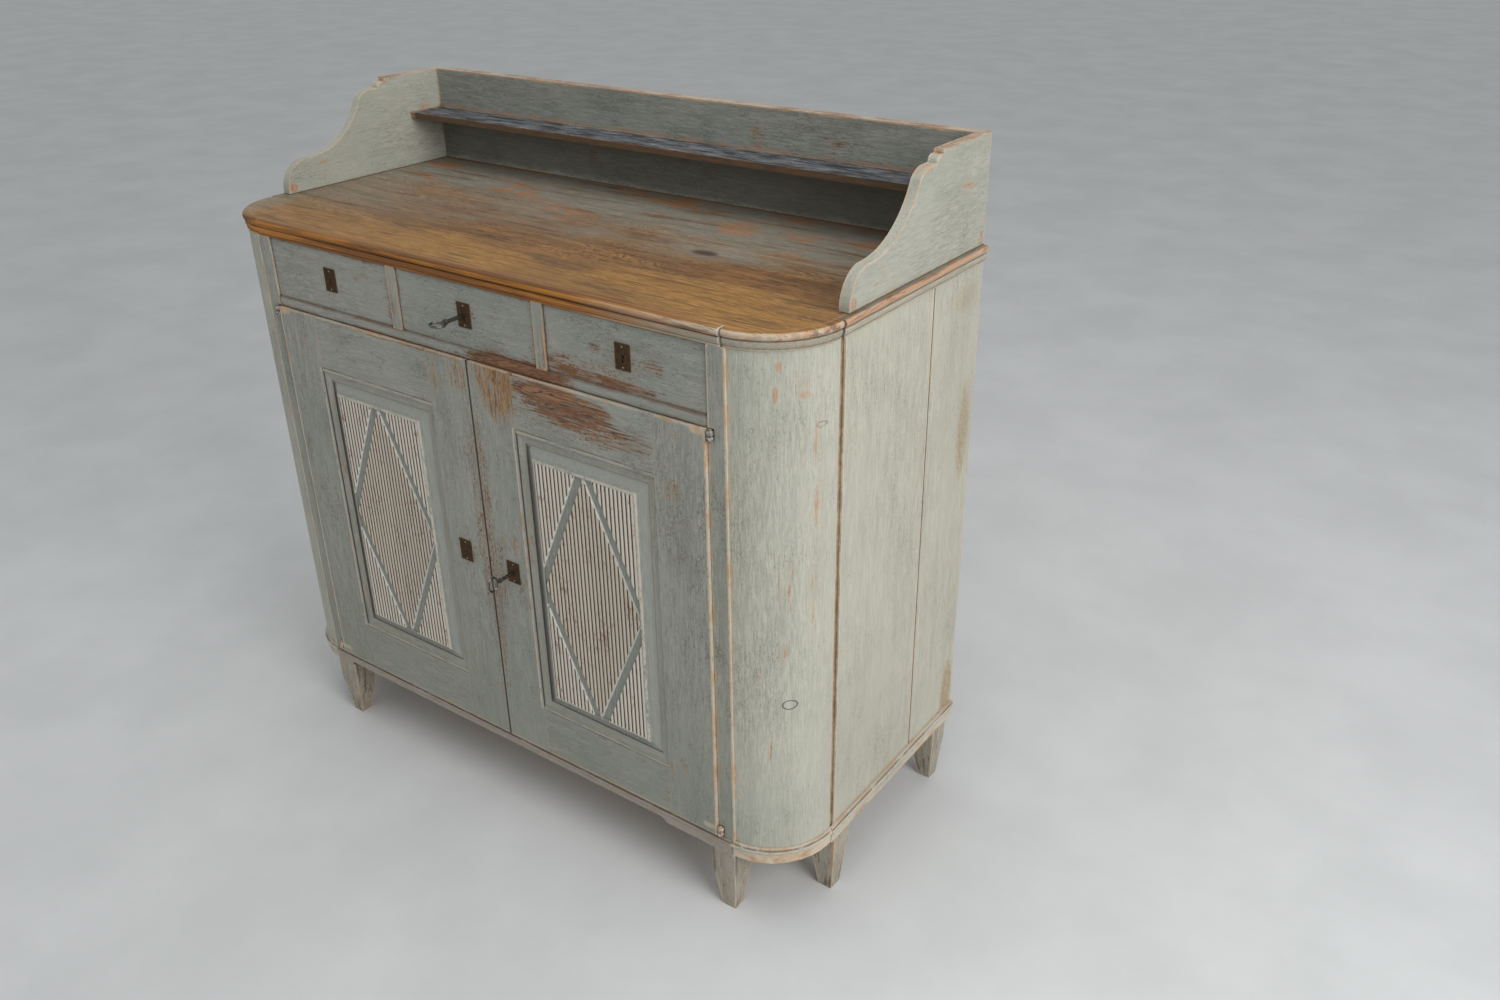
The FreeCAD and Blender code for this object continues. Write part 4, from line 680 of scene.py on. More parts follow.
side_paint = aged_paint(
    "side paint", "z", coat=(0.412, 0.400, 0.326), pale=(0.520, 0.500, 0.414), deep=(0.365, 0.355, 0.290),
    cool=0.03, hands=SIDE_MARKS, soils=SIDE_SOILS, rub=0.28, chip=0.74, dirt_and_shade_strength=0.8, speck=0.32, axes="yz",
    shade=side_lines, unpainted=within_sides("right_side_boards"))
print("side: marks", len(SIDE_MARKS))

# %% [markdown]
# The gallery is handled from above, so its top edge has lost its coat, and wet cloths have left a brown line
# where its foot meets the counter. Its grain runs from front to back. The back board is darker, and darker
# still under the shelf, where a painted shadow lies with the dust.

# %% Paint of the gallery
GALLERY_MARKS = [
    ((0.229, 1.098), (0.028, 0.016), 0.66),
    ((0.143, 1.160), (0.006, 0.006), 0.95),
    ((0.280, 1.010), (0.012, 0.020), 0.60),
    ((0.100, 1.150), (0.030, 0.012), 0.45),
    ((-0.085, 1.010), (0.010, 0.012), 0.90),
    ((-0.020, 1.030), (0.030, 0.020), 0.34),
]
TOP_EDGE = 1.1660
FOOT_DIRT = (0.090, 0.048, 0.024)
TOP_GROUND = [(0.500, 0.400, 0.300), (0.400, 0.245, 0.155)]
TOP_DIRT = (0.130, 0.085, 0.055)


def top_edge(f, colour):
    """The gallery's top edge, handled at every dusting, and the dirt where its foot meets the counter."""
    colour = f.mix(f.step(f.z + (f.grit - 0.5) * 0.003, 1.0016, 1.0002) * 0.85, colour, FOOT_DIRT)
    ground = f.mix(f.step(f.flake, 0.42, 0.58), *TOP_GROUND)
    ground = f.mix(f.step(f.grit + (f.flake - 0.5) * 0.8, 0.54, 0.66) * 0.8, ground, TOP_DIRT)
    return f.mix(f.step(f.z, TOP_EDGE - 0.0004, TOP_EDGE + 0.0004) * 0.85, colour, ground)


gallery_paint = aged_paint(
    "gallery side paint", "y", coat=(0.330, 0.332, 0.272), pale=(0.435, 0.428, 0.362),
    deep=(0.282, 0.286, 0.236), cool=0.04, worn=GALLERY_MARKS, under=first_coat, stain=PALE_STAIN,
    stained=0.25, rub=0.36, chip=0.72, dirt_and_shade_strength=0.85, speck=0.4, axes="yz", shade=top_edge)
print("gallery: marks", len(GALLERY_MARKS))

# %% Shade under the gallery shelf
NICHE_TOP, NICHE_DARK, BOARD_MIDDLE = 1.0868, 1.0862, 0.2800
SHELF_LINE = 1.0990
SHELF_RUB, NICHE_SHADOW_AND_DUST = (0.340, 0.200, 0.120), (0.056, 0.043, 0.022)
BACK_MARKS = [
    ((0.180, 1.120), (0.030, 0.030), 0.45),
    ((0.330, 1.125), (0.040, 0.020), 0.36),
    ((-0.180, 1.040), (0.020, 0.030), 0.42),
]


def niche_shade(f, colour):
    """Painted shadow with long years of dust and hands under the gallery shelf, on the front of the board."""
    rubbed = f.line(f.z, SHELF_LINE, 0.0050, 0.0020) * f.broken(0.46, 0.54)
    colour = f.mix(rubbed * 0.75, colour, SHELF_RUB)
    # Painted shadow with dust: darker below the shelf, fading out above the counter.
    under = f.step(f.z, NICHE_TOP, NICHE_DARK) * f.step(f.z + (f.flake - 0.5) * 0.05, 1.000, 1.012)
    under = under * f.step(f.y, BOARD_MIDDLE + 0.004, BOARD_MIDDLE)
    return top_edge(f, f.mix(under * 0.46, colour, NICHE_SHADOW_AND_DUST))


gallery_back_paint = aged_paint(
    "gallery back paint", "x", coat=(0.178, 0.190, 0.162), pale=(0.270, 0.277, 0.246),
    deep=(0.140, 0.150, 0.127), worn=BACK_MARKS, rub=0.24, chip=0.72, dirt_and_shade_strength=0.95, edge=PEACH,
    shade=niche_shade, unpainted=behind("gallery_back_board"))
print("gallery back: marks", len(BACK_MARKS))

# %% [markdown]
# ### Feet and base moulding
#
# Mops and shoes have taken most of the paint off the feet and the base moulding: cream and pink ground shows
# in patches, with dirt in every quirk and shakes running up the grain. A shake could be cut into the mesh. It
# is so thin that a noise drawn out along the grain gives the same line for nothing.

# %% Paint near the floor
BASE_QUIRK, BASE_NOSE_FOOT = 0.1492, 0.1400
QUIRK_DIRT = (0.110, 0.062, 0.036)
BASE_EDGE = (0.380, 0.330, 0.275)


def foot_cracks(f, colour):
    """Shakes in the feet, open and dirty."""
    crack = f.noise(150, 2, 0.5, HAIR["z"], shift=21.0)
    return f.mix(f.step(crack, 0.60, 0.66) * 0.7, colour, PIT)


def base_lines(f, colour):
    """The quirk under the fillet holds dirt, and the foot of the nose below it is rubbed pale."""
    quirk = f.line(f.z, BASE_QUIRK, 0.0016, 0.0006) * f.step(f.flake, 0.36, 0.50)
    colour = f.mix(quirk * 0.75, colour, QUIRK_DIRT)
    rubbed = f.line(f.z, BASE_NOSE_FOOT, 0.0045, 0.0020) * f.broken(0.46, 0.60)
    return f.mix(rubbed * 0.45, colour, CREAM)


def left_corner(f):
    """1 at the left corner, which is little rubbed."""
    return f.step(f.x, -0.46, -0.50)


foot_paint = aged_paint(
    "foot paint", "z", coat=(0.325, 0.290, 0.228), pale=(0.430, 0.390, 0.315), deep=(0.235, 0.202, 0.152),
    rub=0.23, chip=0.60, dirt_and_shade_strength=0.9, shade=foot_cracks)
plinth_paint = aged_paint(
    "base moulding paint, front", "x", coat=(0.232, 0.225, 0.200), pale=(0.322, 0.310, 0.280),
    deep=(0.165, 0.148, 0.130), rub=0.27, chip=0.56, edge=BASE_EDGE, dirt_and_shade_strength=0.97, shade=base_lines)
plinth_end_paint = aged_paint(
    "base moulding paint, ends", "y", coat=(0.430, 0.412, 0.345), pale=(0.540, 0.515, 0.445),
    deep=(0.345, 0.320, 0.258), rub=0.28, chip=0.64, dirt_and_shade_strength=0.90, quiet=left_corner, shade=base_lines)
print("finishes so far:", len(bpy.data.materials))

# %% [markdown]
# ### Counter
#
# The top has lost most of its paint. Its front third is bare pine that hands and cloths have turned honey
# brown, its back and its left end still hold a grey-green film with orange-pink patches, and a single knot
# sits right of the middle. One recipe serves the boards and the moulding round them, so that the grain and
# the film run on across their joint.


# %% Wood and film of the counter
COUNTER_PINE = [(0.100, 0.045, 0.016), (0.250, 0.122, 0.042), (0.370, 0.200, 0.072)]
HONEY = [(0.280, 0.128, 0.024), (0.500, 0.272, 0.066)]
BROWN_CLOUD, BROWN_STREAK, BROWN_HAIR = (0.190, 0.098, 0.038), (0.092, 0.050, 0.026), (0.052, 0.026, 0.014)
BRIM = [(0.300, 0.118, 0.022), (0.095, 0.034, 0.010)]
FILM = [(0.185, 0.180, 0.142), (0.275, 0.265, 0.218)]
FILM_PATCH = (0.360, 0.165, 0.078)


class CounterWood(Finish):
    """Bare honey-brown pine under the rest of a film of paint."""

    def __init__(self, name, along):
        super().__init__(name)
        self.along = along
        self.cloud = self.noise(5.5, 5, 0.6, (0.5, 1, 1), shift=5.0)
        self.fibre = self.noise(460, 3, 0.6, ALONG[along], shift=2.0)
        self.streak = self.noise(60, 5, 0.65, ALONG[along], shift=6.0)
        self.hair = self.noise(560, 2, 0.5, HAIR[along], shift=15.0)
        self.shake = self.noise(110, 6, 0.7, HAIR[along], shift=17.0)
        self.leftward = 0 - self.x

    def bare(self):
        """Honey-brown towards the front, with an orange brim, and brown clouds, streaks and hairs."""
        honey = self.step(self.y + (self.cloud - 0.5) * 0.30 + (self.streak - 0.5) * 0.12, -0.06, -0.16)
        gold = self.mix(self.step(self.fibre, 0.35, 0.65), *HONEY)
        wood = self.mix(honey * 0.60, pine_grain(self, self.along, COUNTER_PINE), gold)
        wood = self.mix(self.step(self.cloud, 0.40, 0.60) * 0.45, wood, BROWN_CLOUD)
        wood = self.mix(self.step(self.streak, 0.50, 0.66) * 0.60, wood, BROWN_STREAK)
        wood = self.mix(self.step(self.hair, 0.58, 0.68) * 0.65, wood, BROWN_HAIR)
        brim = self.step(self.y + (self.streak - 0.5) * 0.03, -0.212, -0.222) * self.step(self.x, 0.47, 0.40)
        return self.mix(brim * 0.75, wood, self.mix(self.step(self.shake, 0.42, 0.58), *BRIM))

    def film_left(self, low, high):
        """Where the film is left: from low to high in Y, at the left end and on the left corner."""
        back = self.step(self.y + (self.cloud - 0.5) * 0.55, low, high)
        end = self.step(self.leftward + (self.cloud - 0.5) * 0.4, 0.20, 0.50)
        end = end * self.step(self.y + (self.streak - 0.5) * 0.1, -0.17, -0.02)
        ragged = (self.cloud - 0.5) * 0.12
        corner = self.step(self.leftward + ragged + (self.streak - 0.5) * 0.06, 0.500, 0.555)
        return back | end * 0.70 | corner * 0.70

    def filmed(self, wood, reach):
        """The film over the wood, broken along the grain, with orange-pink patches at the back."""
        broken = self.step(self.streak * 0.45 + self.fibre * 0.35 + self.cloud * 0.20, 0.62, 0.50)
        film = self.mix(self.step(self.fibre, 0.4, 0.6), *FILM)
        patch = self.step(self.noise(16, 8, 0.75, BLOTCH[self.along], shift=8.0), 0.53, 0.58)
        film = self.mix(patch * self.step(self.y, 0.0, 0.12) * 0.85, film, FILM_PATCH)
        return self.mix(reach * broken * 0.92, wood, film)


# %% [markdown]
# The moulding has a nose, a quirk under it, then a band and a bead. In front it is all orange-brown wood.
# Towards the right it keeps grey-green paint under a cream and pink nose, and the short corner pieces meet
# the straight ones in dark joints. Heights tell these bands apart, because each length is one solid.

# %% Bands of the counter moulding
NOSE_TOP, QUIRK, JOINT_REACH = 0.9981, 0.9871, 0.0016
FRONT_JOINT, SIDE_END = 0.4785, -0.1175
NOSE_WOOD = [(0.400, 0.160, 0.022), (0.135, 0.050, 0.010)]
NOSE_PALE = [(0.500, 0.415, 0.310), (0.470, 0.270, 0.165)]
NOSE_DIRT, BELOW_WORN, COUNTER_QUIRK_SHADE_AND_DIRT = (0.170, 0.105, 0.066), (0.330, 0.190, 0.115), (0.090, 0.045, 0.022)
BELOW_AMBER_PAINTED_LIGHT = [(0.520, 0.205, 0.036), (0.230, 0.086, 0.016)]
CORNER_JOINT, JOINT_END_HIGHLIGHT = (0.075, 0.052, 0.040), (0.600, 0.560, 0.470)


def painted_ends(f):
    """1 where the moulding keeps its paint: towards the right, and at the far left."""
    right = f.step(f.x + (f.cloud - 0.5) * 0.20 + (f.streak - 0.5) * 0.10, 0.22, 0.46)
    return right | f.step(f.leftward + (f.streak - 0.5) * 0.04, 0.535, 0.580)


def moulded(f, colour, painted, green):
    """The nose, the quirk, what is below it, and the joints of the moulding."""
    worn = f.step(f.shake, 0.42, 0.58)
    pale = f.mix(worn, *NOSE_PALE)
    pale = f.mix(f.step(f.streak + (f.fibre - 0.5) * 0.4, 0.54, 0.62) * 0.75, pale, NOSE_DIRT)
    pale = f.mix(f.step(f.streak + (f.cloud - 0.5) * 0.5, 0.46, 0.38) * 0.55, pale, green[0])
    nose = f.mix(painted, f.mix(worn, *NOSE_WOOD), pale)
    colour = f.mix(f.step(f.z, NOSE_TOP + 0.0005, NOSE_TOP - 0.0005), colour, nose)
    below = f.mix(f.step(f.fibre, 0.4, 0.6), *green)
    below = f.mix(f.step(f.shake, 0.54, 0.62) * 0.6, below, BELOW_WORN)
    # Where bare below the quirk, the amber is painted brighter than the wood, as painted light against the
    # cove's shade.
    low = f.step(f.z + (f.streak - 0.5) * 0.004, QUIRK + 0.0005, QUIRK - 0.0007)
    colour = f.mix(low * 0.92, colour, f.mix(painted, f.mix(worn, *BELOW_AMBER_PAINTED_LIGHT), below))
    # Painted shade with dirt: a brown line in the quirk under the nose.
    colour = f.mix(f.line(f.z, QUIRK, 0.0012, 0.0005) * (painted * 0.20 + 0.15), colour, COUNTER_QUIRK_SHADE_AND_DIRT)
    joint = f.line(f.x, FRONT_JOINT + 0.0010, JOINT_REACH, 0.0008) | f.line(f.y, SIDE_END, 0.0024, 0.0012)
    colour = f.mix(joint * 0.72, colour, CORNER_JOINT)
    # Painted highlight: cream on the lit end of the front moulding, just left of its joint.
    return f.mix(f.line(f.x, FRONT_JOINT - 0.0016, 0.0018, 0.0010) * 0.8, colour, JOINT_END_HIGHLIGHT)


# %% Counter finish
KNOT, KNOT_BROWN = ((0.262, 0.023), (0.030, 0.015)), (0.060, 0.030, 0.028)
COUNTER_EDGE = (0.480, 0.255, 0.110)


def counter_finish(name, along, film_low, film_high, green=None):
    """The counter's wood and film, with the moulding's bands where the colours of its paint are given."""
    f = CounterWood(name, along)
    reach = f.film_left(film_low, film_high)
    colour = f.mix(f.spot(*KNOT, "xy") * 0.88, f.filmed(f.bare(), reach), KNOT_BROWN)
    rub = f.step(f.arris(0.004) + (f.streak - 0.5) * 0.5, 0.20, 0.34)
    colour = f.mix(rub * 0.40, colour, COUNTER_EDGE)
    dirty = 0.85
    if green:
        painted = painted_ends(f)
        colour = moulded(f, colour, painted, green)
        dirty = painted * 0.35 + 0.15
    # Corners and gaps darken: dirt with painted shade.
    colour = f.mix(f.step(f.nook(0.012), 0.46, 0.95) * dirty, colour, GRIME_AND_SHADE)
    return f.done(colour, 0.50 + reach * 0.15, f.fibre * 0.4 + f.streak * 0.4 - f.hair * 0.3, gloss=0.30)


counter_top = counter_finish("counter boards", "x", -0.06, 0.13)
counter_edge = counter_finish(
    "counter moulding", "x", 0.06, 0.26, [(0.285, 0.268, 0.210), (0.375, 0.345, 0.275)])
counter_end = counter_finish(
    "counter end moulding", "y", -0.20, -0.05, [(0.350, 0.322, 0.255), (0.450, 0.405, 0.325)])
print("nodes in the boards' finish:", len(counter_top.node_tree.nodes))
print("nodes in the moulding's finish:", len(counter_edge.node_tree.nodes))

# %% [markdown]
# ### Gallery shelf
#
# The shelf was painted slate blue, now scuffed through in streaks along its length, and its front edge is
# worn to brown wood. Its colours are far from the grey-green of the rest, so it has a short recipe of its
# own.

# %% Shelf finish
SLATE = [(0.026, 0.024, 0.025), (0.118, 0.126, 0.138)]
SLATE_SCUFF, SLATE_FIBRE = (0.320, 0.330, 0.335), (0.035, 0.024, 0.018)
SHELF_EDGE, SHELF_UNDER = [(0.215, 0.090, 0.024), (0.035, 0.015, 0.006)], (0.080, 0.048, 0.024)
SHELF_ENDS = [(0.300, 0.170, 0.100), (0.420, 0.290, 0.190)]


def slate_shelf():
    """Slate blue over dark brown, scuffed along the grain."""
    f = Finish("slate shelf")
    scuff = f.noise(90, 8, 0.78, (0.20, 1, 1), shift=1.0)
    fibre = f.noise(420, 3, 0.6, ALONG["x"])
    colour = f.mix(f.step(scuff, 0.43, 0.53), *SLATE)
    colour = f.mix(f.step(scuff, 0.56, 0.64) * 0.85, colour, SLATE_SCUFF)
    colour = f.mix(f.step(fibre, 0.56, 0.68) * 0.7, colour, SLATE_FIBRE)
    colour = f.mix(f.step(f.y, 0.1990, 0.1970) * 0.92, colour, f.mix(f.step(fibre, 0.42, 0.60), *SHELF_EDGE))
    colour = f.mix(f.step(f.z, 1.0965, 1.0955) * 0.8, colour, SHELF_UNDER)
    ends = f.step(abs(f.x) + (scuff - 0.5) * 0.05, 0.556, 0.568)
    ends = ends | f.step(f.y + (scuff - 0.5) * 0.02, 0.2660, 0.2700)
    colour = f.mix(ends * 0.75, colour, f.mix(f.step(fibre, 0.45, 0.6), *SHELF_ENDS))
    return f.done(colour, 0.6, scuff * 0.6 + fibre * 0.4)


shelf_paint = slate_shelf()
print("shelf:", shelf_paint.name)

# %% [markdown]
# ### Reeded panels
#
# Each panel has a flat lozenge over a field of fine reeds. The bands keep their grey-green coat, while the
# crests of the reeds are rubbed to cream and their valleys are darkened brown with dirt and painted shade,
# more of it inside the lozenge. The depth below the field tells crest from valley, and the field is measured
# from the panel's own box, so it fits both doors. Every band has one nearly white lip: worn paint with a
# painted highlight.

# %% Places on a panel
FIELD_INSET = 0.032
BAND_WIDTH = 0.0165
REED_DEPTH = 0.0025


class PanelPaint(Finish):
    """The places of a reeded panel, from its node's box, and the noises of its paint."""

    def __init__(self, name, node):
        super().__init__(name)
        low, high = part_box(node)
        self.front, self.back = low.y, high.y
        self.half_x = (high.x - low.x) / 2 - FIELD_INSET
        self.half_z = (high.z - low.z) / 2 - FIELD_INSET
        self.aside = self.x - (low.x + high.x) / 2
        self.rise = self.z - (low.z + high.z) / 2
        across, up = abs(self.aside), abs(self.rise)
        self.in_field = (self.step(across, self.half_x + 0.0012, self.half_x)
                         * self.step(up, self.half_z + 0.0012, self.half_z))
        self.height = self.step(up, self.half_z + 0.022, self.half_z + 0.018)
        self.beyond = (across - self.half_x) | (up - self.half_z)
        self.lozenge = across / self.half_x + up / self.half_z
        self.band_outer = 1.0 + BAND_WIDTH / self.half_x
        self.brush = self.noise(420, 3, 0.6, ALONG["z"])
        self.grit = self.noise(300, 5, 0.72, (1, 1, 0.35), shift=3.0)
        self.flake = self.noise(26, 7, 0.72, (1, 1, 0.4), shift=6.0)


# %% Paint of the panels
BAND_COAT = [(0.212, 0.222, 0.194), (0.285, 0.290, 0.256)]
CREST, CREST_WORN = [(0.545, 0.480, 0.392), (0.640, 0.600, 0.520)], (0.320, 0.180, 0.110)
VALLEY_DIRT_AND_SHADE = [(0.105, 0.068, 0.044), (0.050, 0.029, 0.018)]
LIP_HIGHLIGHT_AND_WEAR, RIM_WEAR_AND_HIGHLIGHT = (0.700, 0.680, 0.620), (0.590, 0.535, 0.440)
BEVEL_LIT, BEVEL_SHADOW = (0.400, 0.405, 0.365), (0.060, 0.045, 0.032)


def reeded(f):
    """The mask of the reeds, and the coat with cream crests and valleys darkened by dirt and painted shade.
    """
    coat = f.mix(f.step(f.brush, 0.36, 0.66), *BAND_COAT)
    coat = f.mix(f.step(f.grit, 0.60, 0.68) * 0.45, coat, CREAM)
    outside = f.step(f.lozenge, 0.988, 1.000)
    reeds = f.in_field * (1 - outside * f.step(f.lozenge, f.band_outer + 0.012, f.band_outer))
    crest = f.mix(outside * 0.7 + (f.flake - 0.5) * 0.9, *CREST)
    crest = f.mix(f.step(f.grit + (f.flake - 0.5) * 1.1, 0.58, 0.70) * 0.8, crest, CREST_WORN)
    # Valleys darkened brown: dirt with painted shade, by depth below the crests.
    valley = f.mix(f.step(f.flake, 0.42, 0.62), *VALLEY_DIRT_AND_SHADE)
    depth = (f.y - f.front) / REED_DEPTH
    return reeds, f.mix(reeds, coat, f.mix(f.step(depth + (f.grit - 0.5) * 0.06, 0.22, 0.50), crest, valley))


def lipped(f, colour):
    """Each band's nearly white lip, worn and painted as a highlight: the inner one on its right half, the
    outer on its left.
    """
    rightward = f.step(f.aside, -0.002, 0.002)
    inner = f.line(f.lozenge, 1.006, 0.018, 0.009) * rightward
    outer = f.line(f.lozenge, f.band_outer + 0.002, 0.018, 0.009) * (1 - rightward)
    # Painted highlight with wear on one lip of each band.
    lip = (inner | outer) * f.in_field * f.step(f.grit + (f.flake - 0.5) * 0.8, 0.26, 0.44)
    return f.mix(lip * 0.9, colour, LIP_HIGHLIGHT_AND_WEAR)


def bevelled(f, colour):
    """Painted highlight on bevels above and at the right, painted shadow at the left, and the worn rim,
    brighter where lit.
    """
    # Painted highlight on the bevels above and at the right.
    sloped = f.step(f.aside - f.half_x, 0.0, 0.003) | f.step(f.rise - f.half_z, 0.0, 0.003)
    colour = f.mix(f.step(f.beyond, 0.004, 0.008) * sloped * 0.40, colour, BEVEL_LIT)
    # Painted shadow on the bevel at the left.
    shaded = f.step(0 - f.aside - f.half_x, 0.0100, 0.0170) * f.height
    colour = f.mix(shaded * 0.72, colour, BEVEL_SHADOW)
    # The rim is worn, and its lit sides, right and top, carry a painted highlight.
    lit = f.step(f.aside - f.half_x, -0.004, 0.0) | f.step(f.rise - f.half_z, -0.004, 0.0) * 0.7
    shoulder = f.step(f.beyond - lit * 0.0012, 0.0040, 0.0028) * (1 - f.in_field)
    rim = shoulder * (0.45 + 0.55 * lit) * f.step(f.grit + (f.flake - 0.5) * 1.2, 0.34, 0.50)
    return f.mix(rim * 0.80, colour, RIM_WEAR_AND_HIGHLIGHT)


def panel_finish(name, node):
    """The whole finish of one panel, bare on its back."""
    f = PanelPaint(name, node)
    reeds, colour = reeded(f)
    colour = bevelled(f, lipped(f, colour))
    # Corners and gaps outside the reeds darken: dirt with painted shade.
    dirt = f.step(f.nook(0.010) + (f.grit - 0.5) * 0.3, 0.55, 0.95) * (1 - reeds)
    colour = f.mix(dirt * 0.75, colour, GRIME_AND_SHADE)
    colour = f.mix(f.step(f.y, f.back - 2 * SKIN, f.back - SKIN), colour, dry_board(f, "z"))
    return f.done(colour, 0.68, f.brush * 0.4 + f.grit * 0.6, 0.0004)


panel_paint = {side: panel_finish(side + " door panel", side + "_door_panel") for side in ("left", "right")}
print("panels:", [material.name for material in panel_paint.values()])

# %% [markdown]
# ### Iron, steel and bare pine
#
# The lock plates are black iron with a bloom of rust, cut for a key with a bit, so a slot hangs from the
# round hole. The keys are steel that hands keep bright. Rust is dull where steel shines, so one mask drives
# both the colour and the roughness.

# %% Metal
KEYHOLE_HEIGHT, KEYHOLE_SPACING = 0.9235, 0.3097
KEYHOLES = [(place * KEYHOLE_SPACING, KEYHOLE_HEIGHT) for place in (-1, 0, 1)]
SLOT_LENGTH, SLOT_HALF_WIDTH = 0.0085, 0.0012
IRON = ((0.013, 0.009, 0.006), (0.060, 0.024, 0.008), (0.120, 0.070, 0.034))
STEEL = ((0.190, 0.180, 0.165), (0.045, 0.034, 0.026), (0.46, 0.44, 0.41))
SLOT_SHADE = (0.003, 0.002, 0.002)


def iron_finish(name, tones, roughness=0.66, metallic=0.0, gloss=0.10, slots=()):
    """Forged iron: dark, pitted, with rust in patches, and key slots painted as near black shade where asked.
    """
    dark, rust, worn = tones
    f = Finish(name)
    bloom = f.noise(170, 6, 0.72)
    pit = f.noise(900, 3, 0.6, shift=2.0)
    rusty = f.step(bloom, 0.50, 0.62)
    colour = f.mix(rusty * 0.8, dark, rust)
    colour = f.mix(f.step(f.arris(0.0016) + (bloom - 0.5) * 0.8, 0.25, 0.45) * 0.6, colour, worn)
    # Painted shade: each key slot is a near black shape on the plate where a hole would be dark.
    for across, up in slots:
        below = f.line(f.z, up - SLOT_LENGTH / 2, SLOT_LENGTH / 2 + 0.0003, SLOT_LENGTH / 2 - 0.0003)
        slot = f.line(f.x, across, SLOT_HALF_WIDTH + 0.0003, SLOT_HALF_WIDTH - 0.0003) * below
        colour = f.mix(slot, colour, SLOT_SHADE)
    return f.done(colour, rusty * 0.2 + roughness, bloom * 0.6 + pit * 0.4, 0.0004, metallic, gloss)


black_iron = iron_finish("black iron", IRON)
plate_iron = iron_finish("drawer lock plates", IRON, slots=KEYHOLES)
key_steel = iron_finish("key steel", STEEL, 0.30, 1.0, 0.5)
print("metals:", black_iron.name, plate_iron.name, key_steel.name, sep=", ")

# %% [markdown]
# The hinges were painted over with the rest, and the paint has worn off their round heads. The noise that
# leaves the coat also sets the rust and the bright spots, worn iron with painted glints, at two ends of its
# range, so they never overlap.

# %% Painted hinges
HINGE_COATS = ((0.215, 0.215, 0.195), (0.480, 0.350, 0.260))
HINGE_RUST, HINGE_WEAR_AND_GLINT, HINGE_DIRT_AND_SHADE = (0.070, 0.034, 0.020), (0.640, 0.610, 0.540), (0.050, 0.026, 0.016)


def painted_iron():
    """Hinge iron under the cupboard's own paint, cream near the floor, with rust, and bright spots of wear
    and painted glint.
    """
    f = Finish("painted hinge iron")
    bloom = f.noise(260, 5, 0.7, shift=3.0)
    colour = f.mix(f.step(f.z, 0.35, 0.25), *HINGE_COATS)
    colour = f.mix(f.step(bloom, 0.50, 0.42) * 0.85, colour, HINGE_RUST)
    # Painted highlight: pale glints on the worn spots.
    colour = f.mix(f.step(bloom, 0.56, 0.62) * 0.85, colour, HINGE_WEAR_AND_GLINT)
    # Crevices darken: dirt with painted shade.
    colour = f.mix(f.step(f.nook(0.004), 0.35, 0.75) * 0.9, colour, HINGE_DIRT_AND_SHADE)
    return f.done(colour, 0.5, bloom, 0.0008)


hinge_paint = painted_iron()
print("hinges:", hinge_paint.name)

# %% [markdown]
# Inside, the boards were never painted. The back is three boards side by side, each in a tone of its own,
# with knots. The knots are ovals laid on the grain at chosen places, because a noise would scatter them
# over every board alike.

# %% Bare wood
SEAM_TONES = ((0.50, 0.36, 0.21), (0.22, 0.13, 0.065))
KNOT_DARK = (0.090, 0.038, 0.016)
BACK_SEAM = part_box("back_boards")[1].x / 3
BACK_KNOTS = [
    ((-0.42, 0.72), (0.010, 0.016)),
    ((-0.05, 0.33), (0.008, 0.013)),
    ((0.12, 0.84), (0.009, 0.015)),
    ((0.36, 0.45), (0.011, 0.018)),
    ((-0.24, 0.22), (0.006, 0.010)),
    ((0.47, 0.90), (0.005, 0.009)),
]


def bare_pine(name, along, seams=(), knots=()):
    """Unpainted boards, darkened by age, with joints and knots where asked."""
    f = Finish(name)
    fibre = f.noise(480, 3, 0.6, ALONG[along])
    colour = dry_board(f, along)
    for seam, tone in zip(seams, SEAM_TONES):
        colour = f.mix(f.step(f.x, seam - 0.0005, seam + 0.0005) * 0.22, colour, tone)
        colour = f.mix(f.line(f.x, seam, 0.0022, 0.0012) * 0.85, colour, GRIME_AND_SHADE)
    for middle, size in knots:
        colour = f.mix(f.spot(middle, size) * 0.85, colour, KNOT_DARK)
    return f.done(colour, 0.7, fibre, 0.0004)


pine_along = {along: bare_pine("bare pine along " + along, along) for along in "xy"}
back_pine = bare_pine("bare pine of the back", "z", (-BACK_SEAM, BACK_SEAM), BACK_KNOTS)
print("width of a back board:", round(2 * BACK_SEAM, 3), "knots:", len(BACK_KNOTS))

# %% [markdown]
# ### Which piece has which finish
#
# Each node of the frame gets its finish through its object's material slots; its mesh is left alone.

